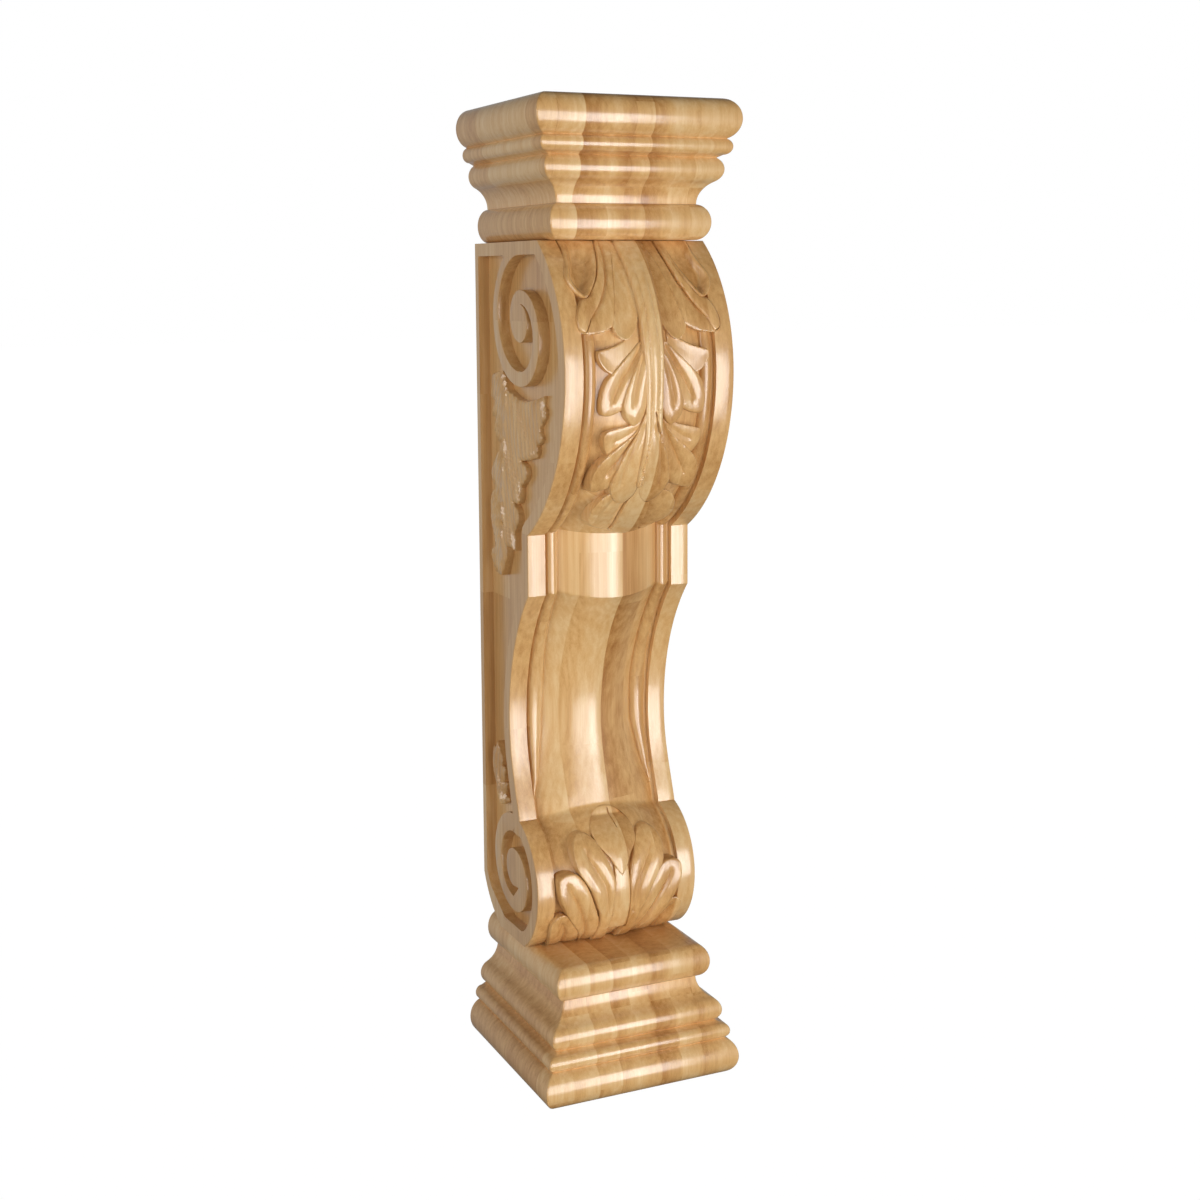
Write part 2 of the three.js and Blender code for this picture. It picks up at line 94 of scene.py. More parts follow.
# Leaves.
EDGE = 0.9
VEIN_CUT = 3.2
LIP_AT = 2.4
LIP_WIDTH = 1.9
CHECK_DEPTH = 2.5

# Side panels.
PANEL_DEPTH = 11
PANEL_RIM = 13
PANEL_BACK = 8
PANEL_TOP = 12
PANEL_ARRIS = 0.6
EDGE_STRIP = 1.2
VOLUTE_R = 52.5

# Distances between the points of the meshes.
FRONT_PITCH = 3.4
LEAF_PITCH = 1.55
SIDE_PITCH = 14
SIDE_LEAF_PITCH = 1.6

# Mouldings of the capital, and of the base turned over.
BLOCK_W = 177.6
BLOCK_T = 185.2
NOSE_H = 36
NOSE_OUT = 11.2
NOSE_BACK = 3.3
BEAD_H = 14.4
BEAD_OUT = 5
OGEE_H = 42.4
OGEE_R = 12.3
OGEE_OUT = -0.7
TORUS_H = 32
TORUS_OUT = -9.3
NECK = -20.6

# Brightness of the surroundings in front of the corbel and behind it, against white paper.
FRONT_FILL = 0.2
BACK_FILL = 0.42

# Height the lights are aimed at and their distance from there, in metres.
LIGHT_AIM = 0.5
LIGHT_AWAY = 2.5


def smooth(value):
    """Smooth step from 0 to 1."""
    u = np.clip(value, 0, 1)
    return u * u * (3 - 2 * u)


def root(value):
    """Square root that stops at zero."""
    return np.sqrt(np.maximum(value, 0))


def rounding(gap, radius):
    """Drop at a rounded edge, by the distance from the edge."""
    turn = np.clip(1 - gap / radius, 0, 1)
    return radius * (1 - root(1 - turn * turn))


def arc(cx, cy, rx, ry, start, end, steps, skip_first=False):
    """Points on an arc, angles in degrees."""
    out = []
    for i in range(1 if skip_first else 0, steps + 1):
        a = math.radians(start + (end - start) * i / steps)
        out.append((cx + rx * math.cos(a), cy + ry * math.sin(a)))
    return out


def spline(points, steps=5, closed=True):
    """Smooth curve through points; a point written with a third value is a corner."""
    n = len(points)
    flat = [np.array(p[:2], float) for p in points]
    corner = [len(p) > 2 for p in points]
    out = []
    for i in range(n if closed else n - 1):
        p1, p2 = flat[i], flat[(i + 1) % n]
        before = flat[i - 1] if closed or i > 0 else p1
        after = flat[(i + 2) % n] if closed or i + 2 < n else p2
        m1 = (p2 - before) / 2 if not corner[i] else (p2 - p1)
        m2 = (after - p1) / 2 if not corner[(i + 1) % n] else (p2 - p1)
        for k in range(steps):
            u = k / steps
            out.append(
                (2 * u ** 3 - 3 * u ** 2 + 1) * p1
                + (u ** 3 - 2 * u ** 2 + u) * m1
                + (3 * u ** 2 - 2 * u ** 3) * p2
                + (u ** 3 - u ** 2) * m2
            )
    if not closed:
        out.append(flat[-1])
    return np.array(out)


def inside(points, loop):
    """Which points lie inside a closed loop."""
    x, y = points[:, 0], points[:, 1]
    result = np.zeros(len(points), bool)
    box = (x >= loop[:, 0].min()) & (x <= loop[:, 0].max())
    box &= (y >= loop[:, 1].min()) & (y <= loop[:, 1].max())
    near = np.nonzero(box)[0]
    px, py = x[near], y[near]
    odd = np.zeros(len(near), bool)
    for (x0, y0), (x1, y1) in zip(loop, np.roll(loop, -1, axis=0)):
        if y0 == y1:
            continue
        spans = (py < y0) != (py < y1)
        odd ^= spans & (px < x0 + (x1 - x0) * (py - y0) / (y1 - y0))
    result[near] = odd
    return result


def distance(points, line, closed=False):
    """Distance to a polyline, and the share of its length at the nearest place."""
    ends = np.roll(line, -1, axis=0) if closed else line[1:]
    starts = line if closed else line[:-1]
    total = len(starts)
    best = np.full(len(points), 1e9)
    share = np.zeros(len(points))
    for i, (a, b) in enumerate(zip(starts, ends)):
        d = b - a
        u = np.clip(((points - a) @ d) / max(d @ d, 1e-12), 0, 1)
        gap = np.hypot(points[:, 0] - a[0] - u * d[0], points[:, 1] - a[1] - u * d[1])
        nearer = gap < best
        best = np.where(nearer, gap, best)
        share = np.where(nearer, (i + u) / total, share)
    return best, share


def hexagons(low, high, pitch):
    """Staggered grid of points in a rectangle."""
    rows = []
    step = pitch * math.sqrt(3) / 2
    for k, v in enumerate(np.arange(low[1], high[1], step)):
        u = np.arange(low[0] + (pitch / 2 if k % 2 else 0), high[0], pitch)
        rows.append(np.stack([u, np.full(len(u), v)], 1))
    return np.concatenate(rows)


def normals(line, closed=True):
    """Unit normals on the left of a line."""
    step = np.roll(line, -1, 0) - np.roll(line, 1, 0)
    if not closed:
        step[0] = line[1] - line[0]
        step[-1] = line[-1] - line[-2]
    step /= np.maximum(np.linalg.norm(step, axis=1), 1e-9)[:, None]
    return np.stack([-step[:, 1], step[:, 0]], 1)


def rings(loop, gaps):
    """Points inside a loop, at given distances from its edge."""
    out = []
    for gap in gaps:
        for sign in (-1, 1):
            ring = loop + sign * gap * normals(loop)
            ring = ring[inside(ring, loop)]
            out.append(ring[distance(ring, loop, True)[0] > 0.8 * gap])
    return out


def carve(outline, regions, creases, seeds, ground, place):
    """Mesh of a carved face over a flat map.

    Each region is a closed loop and a height function of (points, distance from its edge). It lies
    over the ones before it. Upright walls join the regions at their edges. Each crease is a line
    and the number of the first region that can hide it.
    """
    points = [tuple(p) for p in outline]
    edges = [(i, (i + 1) % len(outline)) for i in range(len(outline))]
    lines = [(loop, True, regions[k + 1:]) for k, (loop, _) in enumerate(regions)]
    lines += [(line, False, regions[first:]) for line, first in creases]
    for line, closed, above in lines:
        first = len(points)
        points += [tuple(p) for p in line]
        hidden = np.zeros(len(line), bool)
        for loop, _ in above:
            hidden |= inside(line, loop)
        ends = [(i, (i + 1) % len(line)) for i in range(len(line) if closed else len(line) - 1)]
        shown = [(i, k) for i, k in ends if not (hidden[i] and hidden[k])]
        edges += [(first + i, first + k) for i, k in shown]
    seeds = seeds[inside(seeds, outline)]
    points += [tuple(p) for p in seeds]
    made = delaunay_2d_cdt([Vector(p) for p in points], edges, [], 0, 1e-4, False)
    flat = np.array([tuple(v) for v in made[0]])
    faces = np.array([f for f in made[2] if len(f) == 3])
    middle = flat[faces].mean(1)
    keep = inside(middle, outline)
    faces, middle = faces[keep], middle[keep]
    a, b, c = flat[faces[:, 0]], flat[faces[:, 1]], flat[faces[:, 2]]
    turn = (b[:, 0] - a[:, 0]) * (c[:, 1] - a[:, 1]) - (b[:, 1] - a[:, 1]) * (c[:, 0] - a[:, 0])
    faces = np.where((turn < 0)[:, None], faces[:, ::-1], faces)
    layer = np.zeros(len(faces), int)
    for k, (loop, _) in enumerate(regions):
        layer[inside(middle, loop)] = k + 1
    keys, index = np.unique(
        np.stack([np.repeat(layer, 3), faces.ravel()], 1), axis=0, return_inverse=True
    )
    corner = index.reshape(-1, 3)
    height = np.zeros(len(keys))
    for k in range(len(regions) + 1):
        chosen = keys[:, 0] == k
        spots = flat[keys[chosen, 1]]
        if k == 0:
            height[chosen] = ground(spots)
            continue
        loop, rise = regions[k - 1]
        height[chosen] = rise(spots, distance(spots, loop, True)[0])
    vertices = place(flat[keys[:, 1]], height)
    triangles = [tuple(f) for f in corner]
    owner = {}
    for f, (tri, cor) in enumerate(zip(faces, corner)):
        for k in range(3):
            owner[(tri[k], tri[(k + 1) % 3])] = (f, cor[k], cor[(k + 1) % 3])
    stacks = {}
    for k, (_, spot) in enumerate(keys):
        stacks.setdefault(int(spot), []).append(k)

    def between(spot, start, end):
        """Corners above a place that lie between two others, from the first to the second."""
        low, high = sorted((height[start], height[end]))
        inner = [k for k in stacks[spot] if low < height[k] < high]
        return sorted(inner, key=lambda k: abs(height[k] - height[start]))

    walls = []
    for (p, q), (f, cp, cq) in owner.items():
        other = owner.get((q, p))
        if other is None or layer[f] <= layer[other[0]]:
            continue
        _, dq, dp = other
        if abs(height[cp] - height[dp]) + abs(height[cq] - height[dq]) > 1e-4:
            walls.append((cq, cp, *between(p, cp, dp), dp, dq, *between(q, dq, cq)))
    return vertices, triangles + walls


def front_line(z, c, c_belly, c_brow, c_scroll, blend=0.0):
    """Depth of a surface that stands c in front of the border at the band and in the hollow.

    The foot of the hollow runs into the scroll over the blend's width.
    """
    belly_down = BELLY_T - BELLY_R_DOWN
    up = BELLY_T - BELLY_R_UP + root((BELLY_R_UP + c_belly) ** 2 - (z - BELLY_Z) ** 2)
    brow_turn = math.acos((WAIST_T - belly_down) / BELLY_R_DOWN)
    turn = np.arcsin(np.clip((BELLY_Z - z) / BELLY_R_DOWN, 0, 1)) / brow_turn
    brow_r = BELLY_R_DOWN + c_belly + (c_brow - c_belly) * smooth(turn)
    brow = belly_down + root(brow_r ** 2 - (z - BELLY_Z) ** 2)
    upper = np.where(z >= BELLY_Z, up, brow)
    hollow_r = np.where(z >= HOLLOW_Z, HOLLOW_R_UP, HOLLOW_R_DOWN)
    hollow = HOLLOW_T + hollow_r - root((hollow_r - c) ** 2 - (z - HOLLOW_Z) ** 2)
    slope = math.atan(RAMP)
    ramp_z = HOLLOW_Z - (HOLLOW_R_DOWN - c) * math.sin(slope)
    ramp_t = HOLLOW_T + HOLLOW_R_DOWN - (HOLLOW_R_DOWN - c) * math.cos(slope)
    hollow = np.where(z < ramp_z, ramp_t + RAMP * (ramp_z - z), hollow)
    lower = np.where(z > SCROLL_Z, np.minimum(WAIST_T + c, hollow), 0)
    reach = (SCROLL_R + c_scroll) ** 2 - (z - SCROLL_Z) ** 2
    scroll = np.where(reach > 0, SCROLL_T + root(reach), 0)
    foot = np.maximum(lower, scroll)
    if np.any(blend):
        radius = SCROLL_R + c_scroll
        crown = SCROLL_Z + root(radius ** 2 - CROWN_BACK ** 2)
        fall = (crown - SCROLL_Z) / CROWN_BACK
        beyond = np.where(z > crown, SCROLL_T + CROWN_BACK - (z - crown) * fall, scroll)
        near = np.clip(1 - np.abs(lower - beyond) / blend, 0, 1)
        foot = np.maximum(lower, beyond) + near ** 2 * blend / 4
    return np.maximum(upper * (z > HOLLOW_Z), foot)


def border(z):
    """Depth of the flat border."""
    zero = np.zeros_like(z)
    return front_line(z, zero, zero, zero, zero)


def mirrored(half):
    """Closed outline from its right half, whose first and last points may lie on the middle."""
    left = [(-point[0], *point[1:]) for point in half[::-1] if point[0] != 0]
    return half + left


def find(change, low, high):
    """Level where a function that falls with the level crosses zero."""
    for _ in range(60):
        middle = (low + high) / 2
        if change(middle) > 0:
            low = middle
        else:
            high = middle
    return low


def ramp_gap(z):
    """How far the scroll stands in front of the ramp at a level."""
    slope = math.atan(RAMP)
    ramp_z = HOLLOW_Z - HOLLOW_R_DOWN * math.sin(slope)
    ramp_t = HOLLOW_T + HOLLOW_R_DOWN * (1 - math.cos(slope))
    scroll = SCROLL_T + math.sqrt(max(SCROLL_R ** 2 - (z - SCROLL_Z) ** 2, 0))
    return scroll - ramp_t - RAMP * (ramp_z - z)


RIM_END = find(ramp_gap, SCROLL_Z, SCROLL_Z + SCROLL_R)
WAIST_TOP = BELLY_Z - math.sqrt(BELLY_R_DOWN ** 2 - (WAIST_T - BELLY_T + BELLY_R_DOWN) ** 2)
WAIST_LOW = HOLLOW_Z + math.sqrt(HOLLOW_R_UP ** 2 - (HOLLOW_T + HOLLOW_R_UP - WAIST_T) ** 2)

# The front is mapped on (x, s), with s the length along the border's profile from the bottom up.
levels = np.linspace(BODY_BOTTOM, BODY_TOP, 6001)
steps = np.hypot(np.diff(levels), np.diff(border(levels)))
lengths = np.concatenate([[0], np.cumsum(steps)])


def along(z):
    """Length along the profile at a level, going straight on past both ends."""
    past = np.maximum(z - BODY_TOP, 0) - np.maximum(BODY_BOTTOM - z, 0)
    return np.interp(z, levels, lengths) + past


def level(s):
    """Level at a length along the profile."""
    return np.interp(s, lengths, levels)


def mapped(line):
    """Points (across, level) on the front map."""
    return np.stack([line[:, 0], along(line[:, 1])], 1)


def reed_in(z):
    """Inner edge of the reeds: they swell in the hollow and run out at its foot."""
    stops = ((RIM_END + 16, GROOVE_OUT - 0.2), (RIM_END + 36, 55), (HOLLOW_Z - 12, 47.5),
             (HOLLOW_Z + 30, 46), (HOLLOW_Z + 90, 49.5), (WAIST_LOW, REED_IN))
    return np.interp(z, [s[0] for s in stops], [s[1] for s in stops])


def cross(x, z):
    """Heights of the front over the border: at the band, on the belly, under it, on the scroll."""
    a = np.abs(x)
    inner = reed_in(z)
    dip = 1 - (a / inner) ** 2
    half = (GROOVE_OUT - inner) / 2
    reed = root(1 - ((a - inner - half) / half) ** 2)
    width = np.clip(half / 5, 0, 1)
    out = []
    for crown, share in ((COLUMN_UP, 1), (BELLY_UP, 1), (BROW_UP, 1), (SCROLL_UP, 0.35)):
        column = -SUNK + (crown + SUNK) * dip
        side = -SUNK + REED_UP * share * reed * width
        out.append(np.where(a < inner, column, side))
    return out


def ground_height(spots):
    """Height of the sunk middle over the border."""
    x, z = spots[:, 0], level(spots[:, 1])
    blend = FOOT_BLEND + FOOT_SWELL * np.clip(1 - (x / REED_IN) ** 2, 0, 1)
    return front_line(z, *cross(x, z), blend=blend) - border(z)


def arris(x):
    """Drop at the rounded outer edge of the border."""
    return rounding(HALF - np.abs(x), ARRIS)


def border_height(spots, gap):
    """Height of the flat border below its rim on the scroll."""
    across = np.abs(spots[:, 0])
    return -arris(across) - rounding(across - BORDER_IN, BORDER_ARRIS)


def rim_rise(z):
    """Step at the end of the rim, running out upward."""
    return RIM_STEP * smooth(1 - (z - RIM_END) / 45)


def rim_height(spots, gap):
    """Height of the border above the scroll, where its rim ends in a small step."""
    return border_height(spots, gap) + rim_rise(level(spots[:, 1]))


class Lobe:
    """One lobe of a leaf: its outline, its heights over the border and its veins."""

    def __init__(self, outline, axis, rise, crown=1.2, veins=(), cup=0.0, lip=0.0, width=10.0,
                 shift=0.0, shoulder=0.9):
        self.outline = outline
        self.axis = np.array(axis, float)
        self.rise = rise
        self.crown = crown
        self.veins = veins
        self.cup = cup
        self.lip = lip
        self.width = width
        self.shift = shift
        self.shoulder = shoulder

    def put(self, points, side):
        """Points of the lobe on one side of the leaf."""
        return points * np.array([side, 1.0]) + np.array([self.shift, 0.0])

    def lines(self, side):
        """Bottom lines of the veins as (across, level), for one side."""
        return [self.put(spline(vein[0], closed=False), side) for vein in self.veins]

    def grooves(self, side):
        """Bottom lines of the veins on the front map, for one side."""
        return [mapped(line) for line in self.lines(side)]

    def region(self, side):
        """Closed loop on the front map and the height function, for one side."""
        loop = self.put(spline(self.outline), side)
        lines = self.lines(side)
        foot, tip = self.put(self.axis, side)

        def height(spots, gap):
            real = np.stack([spots[:, 0], level(spots[:, 1])], 1)
            run = tip - foot
            a = np.clip(((real - foot) @ run) / (run @ run), 0, 1)
            h = self.rise[0] + (self.rise[1] - self.rise[0]) * a
            full = np.clip(gap / self.width, 0, 1)
            h += self.crown * (1 - (1 - full) ** 2)
            h -= self.cup * smooth((gap - 3) / 6) * smooth(a * 2.4)
            h += self.lip * np.exp(-((gap - LIP_AT) / LIP_WIDTH) ** 2) * smooth((a - 0.4) / 0.3)
            for line, (_, depth, breadth) in zip(lines, self.veins):
                away, share = distance(real, line)
                fade = np.sqrt(np.clip(np.sin(math.pi * (0.12 + 0.86 * share)), 0, 1))
                valley = np.clip(1 - away / breadth, 0, 1)
                cut = np.clip(1 - away / VEIN_CUT, 0, 1)
                h -= depth * fade * (0.45 * valley + 0.6 * cut)
            return h - rounding(gap, self.shoulder)

        return mapped(loop), height


# Fold along the ear at the top of the upper leaf.
EAR_FOLD = [(28.4, 800), (29, 782), (33, 764), (37, 751), (46, 734), (56, 721)]

# Upper leaf, from its lowest lobe to its uppermost: outline as (across, level), corners marked.
UPPER_LEAF = [
    Lobe(
        [(10, 572), (24, 567), (31.5, 564), (38.2, 557), (41.5, 549.5), (41, 541), (36.5, 535),
         (29, 531.3), (20, 528.8), (14.5, 527.8, 0), (13, 534), (13, 545)],
        [(20, 570), (33, 534)], (11, 16), crown=1.4, shift=0.8,
        veins=[([(20, 566), (26, 556), (30, 545)], 1.2, 6)],
    ),
    Lobe(
        [(8, 640), (18, 630.5), (28, 627), (38.5, 624.8), (45.5, 622.6), (47.8, 618), (47.2, 612),
         (45, 606.5), (42, 602, 0), (28, 592), (10, 605)],
        [(10, 632), (48, 614)], (6, 6), crown=0.8, shift=3.2,
        veins=[([(14, 626), (27, 618), (39, 613)], 1.2, 8)],
    ),
    Lobe(
        [(7, 632), (18, 620), (30, 610), (39.6, 602.5), (45, 597.5), (49.4, 591), (51.7, 584),
         (52, 576), (50, 570), (46, 568), (38, 569.5), (31, 571.8, 0), (22, 580), (10, 600)],
        [(9, 628), (46, 572)], (9.5, 11), crown=1.0, shift=1.5,
        veins=[([(9, 628), (19.5, 612), (26.7, 601), (34, 590), (39.5, 581)], 4.6, 10)],
    ),
    Lobe(
        [(3, 640), (10, 622), (19.5, 604), (26, 586), (28.5, 575), (26, 566.5), (21.3, 560.3),
         (16, 556.3), (10.8, 556), (6, 559.5), (2, 566), (0, 580), (1, 600)],
        [(6, 634), (15, 558)], (10, 16), crown=1.6, shift=-3.4,
        veins=[([(7, 626), (14, 604), (18.5, 586), (19.5, 572)], 3.0, 7)],
    ),
    Lobe(
        [(14, 716), (22, 706), (34, 698.8), (44, 695.5), (53.6, 693.3, 0), (54.4, 688.5),
         (52.7, 683.5), (49.6, 679), (46.2, 675.7), (42, 673.5, 0), (30, 668), (16, 680)],
        [(16, 706), (54, 686)], (2, 3), crown=-0.8, shift=2.3,
    ),
    Lobe(
        [(8, 702), (24, 690), (34, 680.5), (41.7, 672.8), (45.7, 668.2), (48.8, 661.3), (50.7, 653),
         (51, 645), (49.5, 639), (45.5, 636.6), (38.6, 637.7), (32, 640.5), (28.5, 642.3, 0),
         (22, 650), (12, 668)],
        [(12, 696), (46, 642)], (4.5, 3.6), crown=1.0, shift=1.4,
        veins=[([(11, 698), (17, 688), (23, 678), (30, 668), (36, 656), (39.5, 648)], 4.8, 10)],
    ),
    Lobe(
        [(5, 706), (11, 692), (18, 678), (25, 662), (29, 648), (28.8, 641.5), (27.3, 636.5),
         (23.7, 631.6), (19, 627.8), (15, 629), (11, 633.5), (8.5, 640), (6, 655)],
        [(8, 700), (19, 630)], (6, 8.5), crown=1.6,
        veins=[([(8, 694), (15, 672), (19, 655), (20, 643)], 2.8, 6)],
    ),
    Lobe(
        [(14, 800), (20, 770), (29, 735), (32, 719), (34, 715.2, 0), (45, 709.7), (55, 707.7),
         (64, 708), (68.6, 711.6), (70, 718), (68.3, 727), (62.5, 737), (50, 748), (50, 800)],
        [(24, 785), (60, 712)], (3.5, 2.4), crown=0.6, shift=1.5, shoulder=1.4,
        veins=[(EAR_FOLD, 5.5, 13)],
    ),
    Lobe(
        EAR_FOLD[:-1] + [(56, 721, 0), (62, 709.5), (68.2, 711.8), (69.7, 718), (68, 727),
                         (62.2, 737), (50, 748), (50, 800)],
        [(24, 785), (60, 712)], (4.6, 2.4), crown=1.2, shift=1.5, shoulder=1.8,
    ),
    Lobe(
        [(4, 800), (6, 779), (7, 755), (9, 729), (12.3, 715.5), (17.6, 707), (23.8, 702.4),
         (29.5, 703.8), (33.5, 708), (35.7, 714, 0), (32.5, 727), (29, 741), (24, 762), (17, 785),
         (14, 800)],
        [(12, 790), (25, 705)], (4.2, 4.4), crown=-1.8, width=8.0, shoulder=1.2,
    ),
    Lobe(
        [(27, 800), (31, 785), (37, 766), (45, 751), (56, 738.5), (66, 744), (71, 757), (66, 771),
         (63.5, 782), (61, 800)],
        [(46, 792), (57, 740)], (2.4, 3.0), crown=0.4, cup=7.5, lip=1.6, shoulder=2.0,
    ),
]
UPPER_MIDDLE = Lobe(
    mirrored([(0, 522.8), (9, 524.3), (15, 528), (19, 534), (20, 548), (16, 575)]),
    [(0, 566), (0, 526)], (14, 21.5), crown=1.0, shift=3.0,
)

# Lower leaf, from its feet to its middle.
LOWER_LEAF = [
    Lobe(
        [(50, 160), (57, 164.5), (63.5, 162.5), (68, 156), (68.5, 148), (66, 138), (62, 128),
         (58, 116), (32, 116), (36, 138), (44, 152)],
        [(44, 128), (64, 160)], (5, 5.6), crown=0.6,
        veins=[([(47, 116), (48.5, 134), (52, 146), (58, 156)], 5.2, 8)],
    ),
    Lobe(
        [(35, 190), (43, 201.5), (51, 204.8), (58.5, 204), (63.3, 200), (64, 191), (62, 181),
         (58, 171), (53, 162), (46, 152), (36, 138), (24, 116), (8, 116), (14, 138), (26, 168)],
        [(20, 130), (57, 202)], (7, 9.6), crown=0.8,
        veins=[(
            [(24, 116), (30, 140), (35, 154), (40, 167), (45, 177), (50, 186), (54, 195)], 5.2, 10,
        )],
    ),
    Lobe(
        [(24, 233), (32, 237), (39.5, 235), (43.8, 230), (46, 222), (45.5, 213), (43, 204),
         (37, 194.5), (31, 183.5), (25, 169), (20, 155), (17, 116), (7, 116), (9, 150), (9.2, 163),
         (8.2, 175), (7.7, 187), (8.4, 197), (11, 207), (15, 217), (19, 226)],
        [(12, 145), (36, 234)], (11, 14), crown=1.2,
        veins=[([(13, 160), (15.5, 183), (20, 195), (26, 206), (31, 215), (35.5, 225)], 3.6, 9)],
    ),
]
LOWER_MIDDLE = Lobe(
    mirrored([(0, 254), (8, 252.6), (15, 248.3), (20, 242), (21.8, 235), (20, 227), (15.5, 220.5),
              (11, 215), (8, 209.5), (4.5, 203), (0, 197, 0)]),
    [(0, 198), (0, 250)], (11.5, 14.8), crown=1.6, width=14.0,
)
LOWER_STEM = Lobe(
    mirrored([(7, 206, 0), (8.5, 176), (10, 141, 0)]),
    [(0, 141), (0, 198)], (9.5, 11), crown=0.4,
)
CHECK = [(2.2, 252), (2.8, 246), (4.0, 238), (5.0, 236.5), (4.4, 245), (3.6, 252)]


def stem_region():
    """The ribbed stem down the middle of the upper leaf."""
    stops = [
        (BODY_TOP + 8, 10.5, 9.0), (740, 10, 8.4), (703, 10, 8.4), (672, 8.6, 8.4), (640, 8, 10),
        (619, 7.5, 14), (600, 6.2, 17), (584, 4.4, 18), (572, 2.2, 18),
    ]
    z = [s[0] for s in stops]
    bend = [-4.5 * float(smooth((625 - v) / 50)) for v in z]
    right = [(s[1] + b, s[0]) for s, b in zip(stops, bend)]
    left = [(b - s[1], s[0]) for s, b in zip(stops, bend)]
    loop = spline(right + left[::-1], 4)

    def height(spots, gap):
        where = level(spots[:, 1])
        wide = np.interp(where, z[::-1], [s[1] for s in stops[::-1]])
        rise = np.interp(where, z[::-1], [s[2] for s in stops[::-1]])
        share = np.abs(spots[:, 0] - np.interp(where, z[::-1], bend[::-1])) / wide
        fade = smooth((BODY_TOP - where) / 60) * 0.7 + 0.3
        groove = np.exp(-((share - 0.42) / 0.12) ** 2) * 1.7 * fade
        ridge = 1.6 * (1 - share ** 2)
        return rise + ridge - groove - rounding(gap, EDGE)

    return mapped(loop), height


def check_region():
    """A drying crack in the middle lobe of the lower leaf."""
    lobe_height = LOWER_MIDDLE.region(1)[1]

    def height(spots, gap):
        far_inside = np.full(len(spots), 9.0)
        return lobe_height(spots, far_inside) - CHECK_DEPTH

    return mapped(np.array(CHECK)), height


def rectangle(x0, x1, z0, z1):
    """Strip of the front map between two levels, running past the ends of the body."""
    overlap = 6
    s0 = along(z0) - (overlap if z0 <= BODY_BOTTOM else 0)
    s1 = along(z1) + (overlap if z1 >= BODY_TOP else 0)
    run = np.linspace(s0, s1, int((s1 - s0) / 2.6))
    return np.array([(x1, s) for s in run] + [(x0, s) for s in run[::-1]])


def edge_levels():
    """Levels of the points on the front edges, shared by the front and the sides."""
    key = [BODY_BOTTOM, RIM_END, WAIST_LOW, WAIST_TOP, BODY_TOP]
    out = []
    for low, high in zip(key[:-1], key[1:]):
        a, b = along(low), along(high)
        count = max(int((b - a) / 3), 1)
        out += [float(level(a + (b - a) * i / count)) for i in range(count)]
    return out + [BODY_TOP]


EDGE_LEVELS = edge_levels()


# Number of regions on the borders; the leaves lie over them.
BORDER_REGIONS = 4


def front_regions():
    """Regions of the front, the creases in the leaves and the bottom lines of the veins."""
    regions = []
    far = HALF + 5
    for side in (-1, 1):
        a, b = sorted((side * BORDER_IN, side * far))
        regions.append((rectangle(a, b, BODY_BOTTOM, BODY_TOP), border_height))
        regions.append((rectangle(a, b, RIM_END, BODY_TOP), rim_height))
    regions.append(UPPER_MIDDLE.region(1))
    creases = []
    veins = []
    over_stem = UPPER_LEAF[3]
    lobes = [(lobe, side) for lobe in UPPER_LEAF + LOWER_LEAF for side in (-1, 1)]
    lobes.remove((over_stem, 1))
    for lobe, side in lobes:
        regions.append(lobe.region(side))
        creases += [(line, len(regions)) for line in lobe.grooves(side)]
        veins += lobe.grooves(side)
    regions += [LOWER_STEM.region(1), LOWER_MIDDLE.region(1), check_region(), stem_region()]
    regions.append(over_stem.region(1))
    creases += [(line, len(regions)) for line in over_stem.grooves(1)]
    veins += over_stem.grooves(1)
    return regions, creases, veins


def front_creases():
    """Lines on the borders, the reeds and the plain band that the mesh follows."""
    low, high = along(BODY_BOTTOM), along(BODY_TOP)
    lines = []
    run = np.linspace(low + 0.1, high - 0.1, 330)
    inner = reed_in(level(run))
    inner[level(run) < RIM_END + 17] = REED_IN
    rows = [inner + (GROOVE_OUT - inner) * u for u in (0, 0.03, 0.12, 0.3, 0.5, 0.7, 0.88, 0.97, 1)]
    rows += [np.full(len(run), x) for x in (HALF - ARRIS, HALF - ARRIS / 3, HALF - 6)]
    for row in rows:
        for side in (-1, 1):
            lines.append(np.stack([side * row, run], 1))
    across = np.linspace(-BORDER_IN + 0.1, BORDER_IN - 0.1, 80)
    c, c_belly, c_brow, _ = cross(across, np.full(len(across), WAIST_TOP))
    brow_r = BELLY_R_DOWN + c_brow
    top = BELLY_Z - root(brow_r ** 2 - (WAIST_T + c - BELLY_T + BELLY_R_DOWN) ** 2)
    bottom = HOLLOW_Z + root((HOLLOW_R_UP - c) ** 2 - (HOLLOW_T + HOLLOW_R_UP - WAIST_T - c) ** 2)
    for line in (top, bottom):
        lines.append(np.stack([across, along(line)], 1))
    for z in (WAIST_TOP, WAIST_LOW):
        for side in (-1, 1):
            lines.append(np.array([(side * BORDER_IN, along(z)), (side * HALF, along(z))]))
    return [(line, BORDER_REGIONS) for line in lines]


